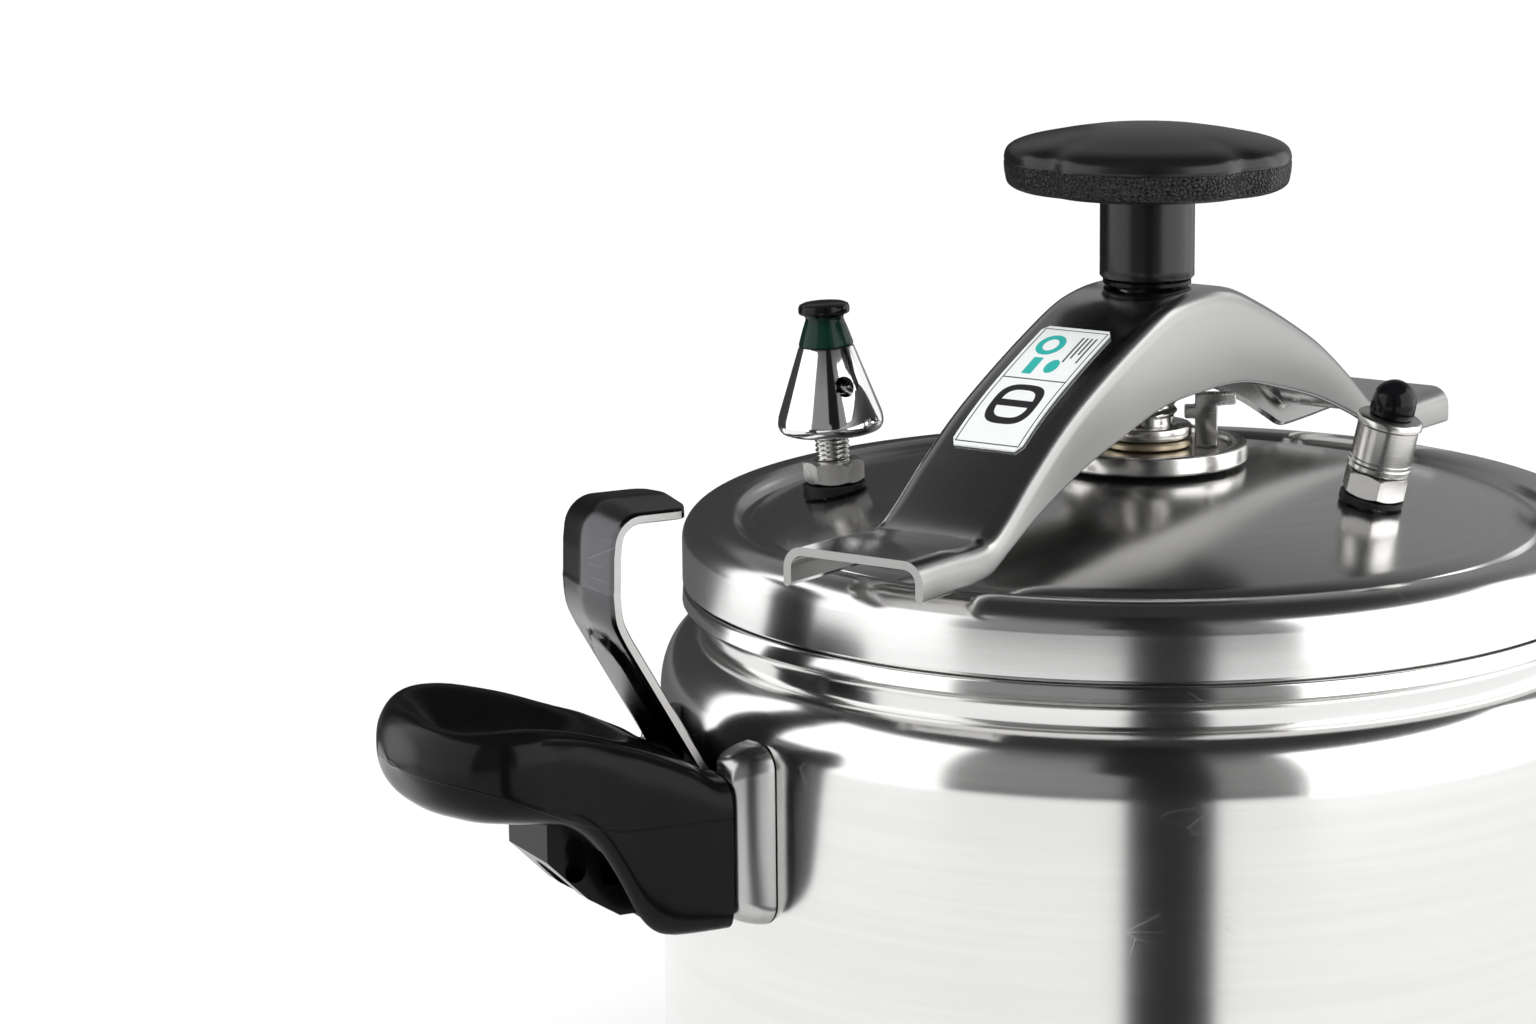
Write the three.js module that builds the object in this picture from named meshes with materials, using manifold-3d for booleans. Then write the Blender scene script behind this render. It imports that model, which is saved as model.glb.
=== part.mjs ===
// A stovetop pressure cooker of about seven litres: a bellied steel pot, a dished lid,
// and a pressed yoke that two side hooks hold down while a centre screw pushes on the lid.
// Millimetres, +Z up. The origin is on the pot's axis at the underside of its base,
// and the two side handles lie along -X and +X.

import * as THREE from 'three';
import { mergeVertices } from 'three/addons/utils/BufferGeometryUtils.js';
import Module from 'manifold-3d';

const wasm = await Module();
wasm.setup();

// ---------------------------------------------------------------- driving dimensions

const gap = 0.3;                 // clearance between pieces that touch on the real object
const sheet = 1.2;               // pot wall
const lidSheet = 1.5;            // lid wall
const rimZ = 165;                // height of the lid skirt's lower edge

const potRadius = 120;
const neckRadius = 110;
const beadRadius = 114.3;        // rolled bead under the lid skirt
const potCorner = 14;
const potFloorZ = 5.5;
const baseRadius = 104;

const lidRadius = 114.2;
const crestRadius = 106.5;       // where the lid's rolled rim is highest
const crestHeight = 17.2;         // above rimZ
const panelCentre = 28.5;        // lid panel's middle above rimZ
const panelFall = 0.00145;       // the panel falls by this times radius squared
const panelRadius = 96.4;

const hubRadius = 25;
const hubBottom = rimZ + panelCentre + gap;
const hubTop = hubBottom + 4.5;
const screwRadius = 7.7;
const keeperRadius = 14.6;
const keeperAngle = -31.5;       // degrees about +Z
const keeperTop = rimZ + 45.2;   // stays under the yoke when the screw lowers it

const yokeAngle = 28.5;          // degrees from +X to the yoke's long axis
const yokeReach = 130;
const crownHeight = 72;          // the yoke's heights are above rimZ
const archHeight = 47;           // lower edge of the flanges at the middle
const footTop = 28.6;
const footBottom = 19.2;
const yokeTop = rimZ + crownHeight;
const yokeSheet = 2;

const neckBottom = yokeTop + 2.1;
const knobUnderside = rimZ + 95.8;
const knobTop = rimZ + 111.2;
const knobRadius = 35;
const knobNeck = 11.6;
const lobeAngle = -31.5;         // direction of one of the knob's lobes

const ventRadius = 76.6;         // distance of the vent from the pot's axis
const ventAngle = 149.5;
const ventTilt = 3;              // degrees that the vent leans outwards
const reliefRadius = 60;
const reliefAngle = -57.5;
const reliefTilt = 13;

const handlePlane = 127.3;       // where a handle's inner face stands, from the pot's axis
const handleReach = 200;
const handleHalf = 28;
const pinReach = 129.8;
const pinZ = rimZ - 34.7;
const pinRadius = 2;
const hookHalf = 14;
const hookSheet = 2.6;
const lipZ = rimZ + 30.8;        // middle of the hook's lip
const screwZ = rimZ - 56;
const bracketLow = rimZ - 67;
const bracketHigh = rimZ - 23;
const bracketSheet = 2;
const boltHole = 2.8;            // radius of the hole for a handle screw

const wideSteps = 36;            // sides of the large round pieces
const midSteps = 20;             // sides of the middle-sized ones
const fineSteps = 14;            // sides of the small ones

// ---------------------------------------------------------------- colours

const steel = { color: 0xc9cbcd, roughness: 0.22, metalness: 1 };
const brushed = { color: 0xa9abae, roughness: 0.35, metalness: 1 };
const chrome = { color: 0xd8dadc, roughness: 0.08, metalness: 1 };
const bakelite = { color: 0x0b0b0c, roughness: 0.25, metalness: 0 };
const rubber = { color: 0x151515, roughness: 0.6, metalness: 0 };
const green = { color: 0x0e2a20, roughness: 0.35, metalness: 0 };
const brass = { color: 0xb5935a, roughness: 0.3, metalness: 1 };
const aluminium = { color: 0xb4b6b8, roughness: 0.45, metalness: 1 };
const paper = { color: 0xdfe6e8, roughness: 0.5, metalness: 0 };

// ---------------------------------------------------------------- helpers

const degrees = Math.PI / 180;

// Merges shared points, drops flat triangles and turns the faces outwards.
function closed(geometry) {
  const bare = geometry.clone();
  bare.deleteAttribute('normal');
  bare.deleteAttribute('uv');
  const merged = mergeVertices(bare, 1e-4);
  const place = merged.attributes.position;
  const kept = [];
  const a = new THREE.Vector3();
  const b = new THREE.Vector3();
  const c = new THREE.Vector3();
  let volume = 0;
  for (let i = 0; i < merged.index.count; i += 3) {
    const [p, q, r] = [0, 1, 2].map((k) => merged.index.getX(i + k));
    if (p === q || q === r || r === p) continue;
    kept.push(p, q, r);
    a.fromBufferAttribute(place, p);
    b.fromBufferAttribute(place, q);
    c.fromBufferAttribute(place, r);
    volume += a.dot(b.cross(c));
  }
  if (volume < 0) kept.reverse();
  merged.setIndex(kept);
  return merged;
}

function toSolid(geometry) {
  const shape = closed(geometry);
  const mesh = new wasm.Mesh({
    numProp: 3,
    vertProperties: new Float32Array(shape.attributes.position.array),
    triVerts: new Uint32Array(shape.index.array),
  });
  return new wasm.Manifold(mesh);
}

function fromSolid(solid) {
  const mesh = solid.getMesh();
  const geometry = new THREE.BufferGeometry();
  geometry.setAttribute('position', new THREE.BufferAttribute(mesh.vertProperties, 3));
  geometry.setIndex(new THREE.BufferAttribute(mesh.triVerts, 1));
  return geometry;
}

function cut(geometry, ...tools) {
  let solid = toSolid(geometry);
  for (const tool of tools) solid = solid.subtract(toSolid(tool));
  return fromSolid(solid);
}

function join(geometry, ...others) {
  let solid = toSolid(geometry);
  for (const other of others) solid = solid.add(toSolid(other));
  return fromSolid(solid);
}

// A profile of [radius, height] points turned about +Z.
function turned(points, segments = fineSteps) {
  const profile = points.map(([r, z]) => new THREE.Vector2(r, z));
  const geometry = new THREE.LatheGeometry(profile, segments);
  return closed(geometry.rotateX(Math.PI / 2));
}

// A ring profile closes on itself.
function ring(points, segments = fineSteps) {
  return turned([...points, points[0]], segments);
}

function cylinder(radius, low, high, segments = fineSteps) {
  return turned([[0, low], [radius, low], [radius, high], [0, high]], segments);
}

function hexagon(acrossFlats, low, high) {
  return cylinder(acrossFlats / Math.sqrt(3), low, high, 6);
}

function box(x, y, z) {
  const geometry = new THREE.BoxGeometry(x[1] - x[0], y[1] - y[0], z[1] - z[0]);
  return geometry.translate((x[0] + x[1]) / 2, (y[0] + y[1]) / 2, (z[0] + z[1]) / 2);
}

// Points on an elliptical arc from angle `from` to angle `to`, in degrees.
function arc(centreR, centreZ, radiusR, radiusZ, from, to, steps) {
  const points = [];
  for (let i = 0; i <= steps; i += 1) {
    const angle = (from + (to - from) * i / steps) * degrees;
    points.push([centreR + radiusR * Math.cos(angle), centreZ + radiusZ * Math.sin(angle)]);
  }
  return points;
}

// A closed outline of [x, z] points pulled through the thickness y0 to y1.
function slab(outline, y0, y1) {
  const shape = new THREE.Shape(outline.map(([x, z]) => new THREE.Vector2(x, z)));
  const geometry = new THREE.ExtrudeGeometry(shape, { depth: y1 - y0, bevelEnabled: false });
  return geometry.rotateX(Math.PI / 2).translate(0, y1, 0);
}

// Closed loops of [u, v] points joined into one body; place(i, u, v) gives each point.
function loft(loops, place) {
  const count = loops[0].length;
  const positions = [];
  const index = [];
  loops.forEach((loop, i) => loop.forEach(([u, v]) => positions.push(...place(i, u, v))));
  for (let i = 0; i + 1 < loops.length; i += 1) {
    for (let j = 0; j < count; j += 1) {
      const next = (j + 1) % count;
      const a = i * count + j;
      const b = i * count + next;
      index.push(a, b, a + count, b, b + count, a + count);
    }
  }
  for (const [i, flip] of [[0, true], [loops.length - 1, false]]) {
    const flat = loops[i].map(([u, v]) => new THREE.Vector2(u, v));
    for (const face of THREE.ShapeUtils.triangulateShape(flat, [])) {
      const order = flip ? [face[2], face[1], face[0]] : face;
      index.push(...order.map((k) => k + i * count));
    }
  }
  const geometry = new THREE.BufferGeometry();
  geometry.setAttribute('position', new THREE.Float32BufferAttribute(positions, 3));
  geometry.setIndex(index);
  return closed(geometry);
}

// Smooth curve through [x, y] points, read at x.
function curveAt(points, x) {
  if (x <= points[0][0]) return points[0][1];
  const last = points.length - 1;
  if (x >= points[last][0]) return points[last][1];
  const slopes = points.map((p, i) => {
    if (i === 0 || i === last) return 0;
    return (points[i + 1][1] - points[i - 1][1]) / (points[i + 1][0] - points[i - 1][0]);
  });
  const i = points.findIndex((p, k) => k < last && x < points[k + 1][0]);
  const [x0, y0] = points[i];
  const [x1, y1] = points[i + 1];
  const h = x1 - x0;
  const t = (x - x0) / h;
  const ease = t * t * (3 - 2 * t);
  const start = t * (1 - t) * (1 - t) * h * slopes[i];
  const end = t * t * (t - 1) * h * slopes[i + 1];
  return y0 + (y1 - y0) * ease + start + end;
}

function mesh(name, geometry, finish) {
  const part = new THREE.Mesh(geometry, new THREE.MeshStandardMaterial(finish));
  part.name = name;
  return part;
}

function panelZ(radius) {
  return rimZ + panelCentre - panelFall * radius * radius;
}

// A group on the lid panel, its own +Z leaning outwards by the tilt.
function standOnPanel(radius, angle, tilt) {
  const group = new THREE.Group();
  group.position.set(
    radius * Math.cos(angle * degrees),
    radius * Math.sin(angle * degrees),
    panelZ(radius),
  );
  group.rotation.set(0, tilt * degrees, angle * degrees, 'ZYX');
  return group;
}

// ---------------------------------------------------------------- pot

// Elliptical bend from the wall to the neck, and the round bend from the floor to the wall.
function shoulder(inset, from, to) {
  return arc(neckRadius - inset, rimZ - 27, potRadius - neckRadius, 15.5 - inset, from, to, 5);
}

function floorBend(inset, from, to) {
  const bend = potCorner - inset;
  return arc(potRadius - potCorner, potFloorZ + potCorner, bend, bend, from, to, 4);
}

function potBody() {
  const flare = beadRadius - neckRadius;
  const outer = [
    [0, potFloorZ],
    ...floorBend(0, -90, 0),
    ...shoulder(0, 0, 90),
    ...arc(beadRadius, rimZ - 8.8, flare, 4.2, 180, 90, 3),
    [beadRadius, rimZ - 1.6],
    [beadRadius - 0.7, rimZ - 0.7],
    [111.6, rimZ - 0.7],
    [111.6, rimZ + 3.2],
    [110.9, rimZ + 3.9],
  ];
  const inner = [
    [109.4, rimZ + 3.9],
    [neckRadius - sheet, rimZ + 3.2],
    ...shoulder(sheet, 90, 0),
    ...floorBend(sheet, 0, -90),
    [0, potFloorZ + sheet],
  ];
  return turned([...outer, ...inner], wideSteps);
}

function baseDisc() {
  const top = potFloorZ - gap;
  return turned([
    [0, 0],
    [baseRadius - 2.2, 0],
    [baseRadius - 0.6, 0.6],
    [baseRadius, 2.2],
    [baseRadius, top - 0.8],
    [baseRadius - 0.8, top],
    [0, top],
  ], wideSteps);
}

// ---------------------------------------------------------------- side handles and hooks

// Everything at a side is drawn on +X and turned into place.

// A rectangle with rounded corners, pulled along +X.
function roundedPlate(half, low, high, corner, depth) {
  const shape = new THREE.Shape();
  shape.moveTo(-half + corner, low);
  shape.lineTo(half - corner, low);
  shape.quadraticCurveTo(half, low, half, low + corner);
  shape.lineTo(half, high - corner);
  shape.quadraticCurveTo(half, high, half - corner, high);
  shape.lineTo(-half + corner, high);
  shape.quadraticCurveTo(-half, high, -half, high - corner);
  shape.lineTo(-half, low + corner);
  shape.quadraticCurveTo(-half, low, -half + corner, low);
  const geometry = new THREE.ExtrudeGeometry(shape, { depth, bevelEnabled: false, curveSegments: 4 });
  return geometry.rotateX(Math.PI / 2).rotateZ(Math.PI / 2);
}

// A cylinder that lies along X, through a handle's screw.
function alongScrew(radius, from, to) {
  return cylinder(radius, from, to, fineSteps).rotateY(Math.PI / 2).translate(0, 0, screwZ);
}

// A cylinder that lies along Y, through a hook's pin.
function alongPin(radius, half) {
  return cylinder(radius, -half, half, fineSteps).rotateX(Math.PI / 2).translate(pinReach, 0, pinZ);
}

// A pressed box, open towards the pot, that holds the handle off the pot's wall.
function bracket() {
  const back = 100;              // inside the pot, where the wall cuts it off
  const front = handlePlane - gap;
  const shell = roundedPlate(handleHalf, bracketLow, bracketHigh, 6, front - back).translate(back, 0, 0);
  const inside = box(
    [back - 1, front - bracketSheet],
    [bracketSheet - handleHalf, handleHalf - bracketSheet],
    [bracketLow + bracketSheet, bracketHigh - bracketSheet],
  );
  const window = box([back - 1, front + 1], [-18, 18], [rimZ - 46, bracketHigh + 1]);
  const potWall = cylinder(potRadius + gap, 0, rimZ + 20, wideSteps);
  return cut(shell, inside, window, potWall, alongScrew(boltHole, back, 140));
}

// Outlines of the grip along X: its top, its underside and half its width.
const handleTopLine = [
  [handlePlane, -30], [136, -25.5], [150, -18.8], [165, -12.6],
  [180, -9], [192, -9.8], [198, -14.5], [handleReach, -21.8],
];
const handleLowLine = [
  [handlePlane, -38], [140, -38], [152, -38.5], [165, -37.5],
  [178, -35.5], [190, -34], [196.5, -31], [handleReach, -22.9],
];
const handleWidthLine = [
  [handlePlane, handleHalf], [140, 26.5], [152, 25.5], [165, 27], [178, 30],
  [188, 28.5], [195, 21], [198.5, 12], [handleReach, 3],
];
const scoopDepth = 12;

// One cross-section of the grip, with the finger scoop pressed into its top.
function gripLoop(x) {
  const top = curveAt(handleTopLine, x);
  const low = curveAt(handleLowLine, x);
  const half = curveAt(handleWidthLine, x);
  const middle = (top + low) / 2;
  const height = (top - low) / 2;
  const { smoothstep } = THREE.MathUtils;
  const reach = smoothstep(x, 146, 164) * (1 - smoothstep(x, 184, 197));
  const count = 18;
  const loop = [];
  for (let i = 0; i < count; i += 1) {
    const angle = 2 * Math.PI * i / count;
    const c = Math.cos(angle);
    const s = Math.sin(angle);
    const y = half * Math.sign(c) * Math.abs(c) ** 0.6;
    let z = middle + height * Math.sign(s) * Math.abs(s) ** 0.6;
    const across = Math.abs(y) / half;
    if (s > 0) z -= scoopDepth * reach * (1 - smoothstep(across, 0.25, 0.85));
    loop.push([y, rimZ + z]);
  }
  return loop;
}

// The hollow block under the grip that stands against the bracket.
function handleBlock() {
  const low = bracketLow;
  const block = slab([
    [handlePlane, rimZ - 33], [handlePlane, low], [143, low], [147, low + 2], [150, low + 6],
    [153, low + 13], [158, low + 22], [165, low + 29], [174, low + 33],
    [174, rimZ - 30], [150, rimZ - 27],
  ], -25.5, 25.5);
  const hollow = slab([
    [140, low - 1], [153, low - 1], [180, rimZ - 30],
    [168, rimZ - 38], [150, rimZ - 44], [140, rimZ - 44],
  ], -22.5, 22.5);
  return cut(block, hollow);
}

// The stiffening rib in the hollow.
function handleRib() {
  const low = bracketLow;
  return slab([
    [138, rimZ - 32], [138, low + 4], [149, low + 4], [157, low + 9],
    [167, low + 19], [167, rimZ - 36], [150, rimZ - 30],
  ], -11, 11);
}

// Oval recesses in both sides of the rib, as [x, straight length].
function ribRecesses() {
  const tools = [];
  for (const [x, length] of [[151, 10], [160, 6]]) {
    for (const y of [-12, 12]) {
      const oval = new THREE.CapsuleGeometry(2.6, length, 4, 12).rotateX(Math.PI / 2);
      tools.push(oval.scale(1, 2.2, 1).translate(x, y, rimZ - 48));
    }
  }
  return tools;
}

// Room in the handle for the hook's eye and its swing.
function hookPocket() {
  return slab([
    [120, rimZ - 45], [134.6, rimZ - 45], [136.2, rimZ - 36], [137, rimZ - 30],
    [144, rimZ - 18], [144, rimZ - 5], [120, rimZ - 5],
  ], -16, 16);
}

function handle() {
  const stations = [handlePlane, 137, 146, 154, 162, 170, 178, 185, 191, 195, 198, 199.5, handleReach];
  const grip = loft(stations.map(gripLoop), (i, y, z) => [stations[i], y, z]);
  const body = join(grip, handleBlock(), handleRib());
  const pinHole = alongPin(pinRadius + gap, 60);
  const headWell = alongScrew(5.6, 137, 175);
  return cut(body, hookPocket(), pinHole, alongScrew(boltHole, 120, 145), headWell, ...ribRecesses());
}

function hookPin() {
  return alongPin(pinRadius, 24);
}

function handleScrew() {
  const shank = turned([
    [0, 121.2], [2.4, 121.2], [2.4, 137.4], [5, 137.4], [5, 139], [3.6, 140.6], [0, 141],
  ], fineSteps);
  return shank.rotateY(Math.PI / 2).translate(0, 0, screwZ);
}

function handleNut() {
  const body = cut(hexagon(8, 121.2, 124.6), cylinder(2.7, 120, 126, fineSteps));
  return body.rotateY(Math.PI / 2).translate(0, 0, screwZ);
}

// The hook's centre line as [x, z]: eye, leaning lower half, upright half and lip.
function hookLine() {
  const lean = 30 * degrees;
  const along = [Math.sin(lean), Math.cos(lean)];
  const roll = pinRadius + 0.4 + hookSheet / 2;
  const start = [pinReach - Math.cos(lean) * roll, pinZ + Math.sin(lean) * roll];
  const kneeZ = rimZ + 6;
  const length = (kneeZ - start[1]) / along[1];
  const kneeX = start[0] + along[0] * length;
  const line = [start];
  for (const share of [0.33, 0.66, 0.94]) {
    line.push([start[0] + along[0] * length * share, start[1] + along[1] * length * share]);
  }
  line.push([kneeX + 0.3, kneeZ + 2]);
  line.push([kneeX + 0.6, kneeZ + 6]);
  line.push([kneeX + 0.4, lipZ - 8.2]);
  line.push(...arc(kneeX - 6, lipZ - 6.2, 6, 6.2, 8, 90, 4));
  line.push([kneeX - 18, lipZ]);
  return line;
}

// A strap bent along the line, with its eye round the pin.
function hook() {
  const centre = hookLine();
  const left = [];
  const right = [];
  centre.forEach(([x, z], i) => {
    const before = centre[Math.max(i - 1, 0)];
    const after = centre[Math.min(i + 1, centre.length - 1)];
    const dx = after[0] - before[0];
    const dz = after[1] - before[1];
    const half = hookSheet / 2 / Math.hypot(dx, dz);
    left.push([x - dz * half, z + dx * half]);
    right.push([x + dz * half, z - dx * half]);
  });
  const strap = slab([...left, ...right.reverse()], -hookHalf, hookHalf);
  const eye = alongPin(pinRadius + 0.4 + hookSheet, hookHalf);
  return cut(join(strap, eye), alongPin(pinRadius + gap, 60));
}

// ---------------------------------------------------------------- lid

function panelHole(radius, angle, tilt, size) {
  const place = standOnPanel(radius, angle, tilt);
  place.updateMatrix();
  return cylinder(size, -8, 8, fineSteps).applyMatrix4(place.matrix);
}

function lidShell() {
  const inset = lidSheet;
  const roll = lidRadius - crestRadius;
  const rollZ = rimZ + 10.5;
  const rollHeight = crestHeight - 10.5;
  const panelEdge = panelZ(panelRadius);
  const panel = [0, 25, 50, 75];
  const outer = [
    [lidRadius - inset, rimZ],
    [lidRadius, rimZ],
    ...arc(crestRadius, rollZ, roll, rollHeight, 0, 90, 5),
    [104, rimZ + 16.9],
    [101.8, rimZ + 15.9],
    [100.4, rimZ + 14.6],
    [99.2, rimZ + 13.7],
    [97.9, rimZ + 13.6],
    [panelRadius, panelEdge],
    ...panel.slice().reverse().map((r) => [r, panelZ(r)]),
  ];
  const inner = [
    ...panel.map((r) => [r, panelZ(r) - inset]),
    [panelRadius - 0.5, panelEdge - inset],
    [97.6, rimZ + 12.1],
    [99.6, rimZ + 12.2],
    [101.2, rimZ + 13.2],
    [102.6, rimZ + 14.5],
    [104.4, rimZ + 15.4],
    ...arc(crestRadius, rollZ, roll - inset, rollHeight - inset, 90, 0, 5),
  ];
  const shell = ring([...outer, ...inner], wideSteps);
  return cut(
    shell,
    panelHole(ventRadius, ventAngle, ventTilt, 4.6),
    panelHole(reliefRadius, reliefAngle, reliefTilt, 5.3),
  );
}

function sealingRing() {
  return ring([
    [104, rimZ + 4.2],
    [111.6, rimZ + 4.2],
    [112.2, rimZ + 5],
    [112.2, rimZ + 9.8],
    [110.4, rimZ + 11.4],
    [108.2, rimZ + 9],
    [105.8, rimZ + 9],
    [104.2, rimZ + 12.6],
    [103, rimZ + 12],
  ], wideSteps);
}

function lidHub() {
  return turned([
    [0, hubBottom],
    [hubRadius - 0.6, hubBottom],
    [hubRadius, hubBottom + 0.6],
    [hubRadius, hubTop - 0.4],
    [hubRadius - 0.4, hubTop],
    [21.5, hubTop],
    [21, hubTop - 1.2],
    [0, hubTop - 1.2],
  ], midSteps);
}

// A post on the hub: its inner lip keeps the screw's foot down, and its ear points outwards.
function keeper(turn) {
  const floor = hubTop - 1.2 + gap;
  const inner = keeperRadius - 2.6;
  const outer = keeperRadius + 2.9;
  const ear = keeperRadius + 7.4;
  const lip = 9.4;
  const lipLow = rimZ + 39.2;
  const lipHigh = rimZ + 42;
  const outline = [
    [inner, floor], [outer, floor], [outer, keeperTop - 2.8], [ear, keeperTop - 2.4], [ear, keeperTop],
    [inner, keeperTop], [inner, lipHigh], [lip, lipHigh], [lip, lipLow], [inner, lipLow],
  ];
  return slab(outline, -2.6, 2.6).rotateZ((keeperAngle + turn) * degrees);
}

function thrustCup() {
  const low = hubTop - 1.2 + gap;
  return turned([[0, low], [11, low], [11.4, low + 0.4], [11.4, low + 1.8], [0, low + 1.8]], midSteps);
}

// ---------------------------------------------------------------- centre screw and knob

function spindle() {
  const foot = hubTop - 1.2 + 2 * gap + 1.8;
  return turned([
    [0, foot], [10.6, foot], [11.2, foot + 0.6], [11.2, foot + 3.2], [screwRadius, foot + 3.6],
    [screwRadius, rimZ + 98], [screwRadius - 1.2, rimZ + 99.2], [0, rimZ + 99.2],
  ], midSteps);
}

// How far the knob's side stands in: 0 on its four lobes, 1 in the notches between them.
function notch(angle) {
  const turned = (angle / degrees - lobeAngle + 315) % 90;
  const off = Math.min(turned, 90 - turned);
  const ramp = Math.min(off / 40, 1);
  return 0.75 * Math.exp(-((off / 9) ** 2)) + 0.25 * (1 - ramp * ramp * (3 - 2 * ramp));
}

// The hand wheel: four broad lobes on a domed disc over a round neck.
function knob() {
  const height = knobTop - knobUnderside;
  const levels = [
    [neckBottom, knobNeck - 0.4, 0],
    [neckBottom + 0.5, knobNeck, 0],
    [knobUnderside - 2.4, knobNeck, 0],
    [knobUnderside - 0.6, knobNeck + 1.2, 0],
    [knobUnderside, knobNeck + 4, 0],
    [knobUnderside - 0.4, 25, 0.6],
    [knobUnderside, 31, 1.4],
    [knobUnderside + 0.08 * height, knobRadius - 1.1, 2.1],
    [knobUnderside + 0.22 * height, knobRadius - 0.3, 2.3],
    [knobUnderside + 0.4 * height, knobRadius, 2.4],
    [knobUnderside + 0.57 * height, knobRadius - 0.2, 2.4],
    [knobUnderside + 0.68 * height, knobRadius - 1.4, 2.3],
    [knobUnderside + 0.76 * height, 30.8, 1.9],
    [knobUnderside + 0.83 * height, 26, 1.2],
    [knobUnderside + 0.925 * height, 18, 0.4],
    [knobUnderside + 0.985 * height, 9, 0],
    [knobTop, 1.5, 0],
  ];
  const count = 40;
  const loops = levels.map(([, radius, depth]) => {
    const loop = [];
    for (let i = 0; i < count; i += 1) {
      const angle = (lobeAngle + 360 * i / count) * degrees;
      const r = radius - depth * notch(angle);
      loop.push([r * Math.cos(angle), r * Math.sin(angle)]);
    }
    return loop;
  });
  const body = loft(loops, (i, x, y) => [x, y, levels[i][0]]);
  return cut(body, cylinder(9.6, neckBottom - 1, knobUnderside + 7, midSteps));
}

// The steel sleeve moulded into the knob, which the spindle is pinned in.
function knobInsert() {
  return ring([
    [screwRadius + gap, neckBottom + 1.5], [9.3, neckBottom + 1.5], [9.3, knobUnderside + 6.6],
    [screwRadius + gap, knobUnderside + 6.6],
  ], midSteps);
}

// ---------------------------------------------------------------- yoke

// The yoke's crown, its lower edge and half its width, by distance from the axis.
const yokeTopLine = [
  [0, crownHeight], [16, 70.4], [30, 65.6], [50, 57], [65, 49.4], [80, 39.6],
  [90, 32.2], [97, 28.4], [104, 27.7], [116, 28.3], [yokeReach, footTop],
];
const yokeLowLine = [
  [0, archHeight], [20, 46], [38, 42], [58, 36.6], [77, 29.6],
  [90, 23.6], [98, 20], [104, footBottom], [yokeReach, footBottom],
];
const yokeWidthLine = [[0, 17], [60, 16.5], [92, 16.8], [104, 17.6], [120, 18.2], [yokeReach, 18.6]];

// One U-shaped section of the channel, open below.
function channelLoop(s) {
  const at = Math.abs(s);
  const top = rimZ + curveAt(yokeTopLine, at);
  const low = rimZ + curveAt(yokeLowLine, at);
  const half = curveAt(yokeWidthLine, at);
  const slope = curveAt(yokeTopLine, at + 0.5) - curveAt(yokeTopLine, Math.max(at - 0.5, 0));
  const web = yokeSheet * Math.hypot(1, slope);
  const bend = 5;
  const outside = [
    [half, low],
    ...arc(half - bend, top - bend, bend, bend, 0, 90, 3),
    ...arc(bend - half, top - bend, bend, bend, 90, 180, 3),
    [-half, low],
  ];
  const inner = bend - yokeSheet;
  const inside = [
    [yokeSheet - half, low],
    ...arc(bend - half, top - web - inner, inner, inner, 180, 90, 2),
    ...arc(half - bend, top - web - inner, inner, inner, 90, 0, 2),
    [half - yokeSheet, low],
  ];
  return [...outside, ...inside];
}

function yoke() {
  const side = [8, 16, 24, 33, 43, 54, 65, 76, 84, 90, 95, 99, 104, 115, yokeReach];
  const stations = [...side.map((s) => -s).reverse(), 0, ...side];
  const channel = loft(stations.map(channelLoop), (i, t, z) => [stations[i], t, z]);
  return cut(channel, cylinder(screwRadius + 0.5, rimZ + archHeight, yokeTop + 5, midSteps));
}

// The threaded boss under the yoke's web.
function yokeBush() {
  const high = yokeTop - yokeSheet - 1;
  return cut(hexagon(23, high - 13, high), cylinder(screwRadius + 0.4, high - 20, high + 5, midSteps));
}

function yokeCollar() {
  return ring([
    [screwRadius + 0.5, yokeTop + gap], [10.4, yokeTop + gap], [10.8, yokeTop + 0.7],
    [10.8, neckBottom - gap], [screwRadius + 0.5, neckBottom - gap],
  ], midSteps);
}

// A thin plate that follows the web of one leg.
function label() {
  const from = 32;
  const to = 75;
  const steps = 10;
  const half = 9.5;
  const stations = Array.from({ length: steps + 1 }, (_, i) => from + (to - from) * i / steps);
  const loops = stations.map((s) => {
    const low = rimZ + curveAt(yokeTopLine, s) + 0.35;
    return [[-half, low], [half, low], [half, low + 0.35], [-half, low + 0.35]];
  });
  return loft(loops, (i, t, z) => [-stations[i], t, z]);
}

// ---------------------------------------------------------------- vent and weight

const nutFlats = 13;
const ventNutLow = 2.9;          // above the panel, along the vent's own axis
const ventNutHigh = 8.4;
const weightBottom = 15.2;
const ventTip = weightBottom + 9.5;

// A rubber ring that is cut to the panel's slope, so that a leaning valve seats on it.
function wedgeWasher(radius, tilt, hole, high) {
  const slope = tilt - Math.atan(2 * panelFall * radius) / degrees;
  const below = cylinder(30, -30, 0, fineSteps).rotateY(-slope * degrees).translate(0, 0, 0.5);
  return cut(ring([[hole, -3], [7.8, -3], [7.8, high], [hole, high]], fineSteps), below);
}

function ventNipple() {
  return cut(
    turned([
      [0, -10], [4.3, -10], [4.3, ventTip - 3.5], [2.6, ventTip], [0, ventTip],
    ], fineSteps),
    cylinder(1.5, -12, 40, fineSteps),
  );
}

function ventNut() {
  return cut(hexagon(nutFlats, ventNutLow, ventNutHigh), cylinder(4.6, 0, 9, fineSteps));
}

function ventWasher() {
  return wedgeWasher(ventRadius, ventTilt, 4.6, ventNutLow - gap);
}

function ventInnerNut() {
  return cut(hexagon(nutFlats, -8.2, -3.4), cylinder(4.6, -9, 0, fineSteps));
}

function ventStrainer() {
  return turned([
    [0, -15.4], [5.8, -15.4], [7, -14.2], [7, -8.5], [4.7, -8.5], [4.7, -9.5], [6, -9.5], [6, -13.8],
    [5.4, -14.4], [0, -14.4],
  ], fineSteps);
}

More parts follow.
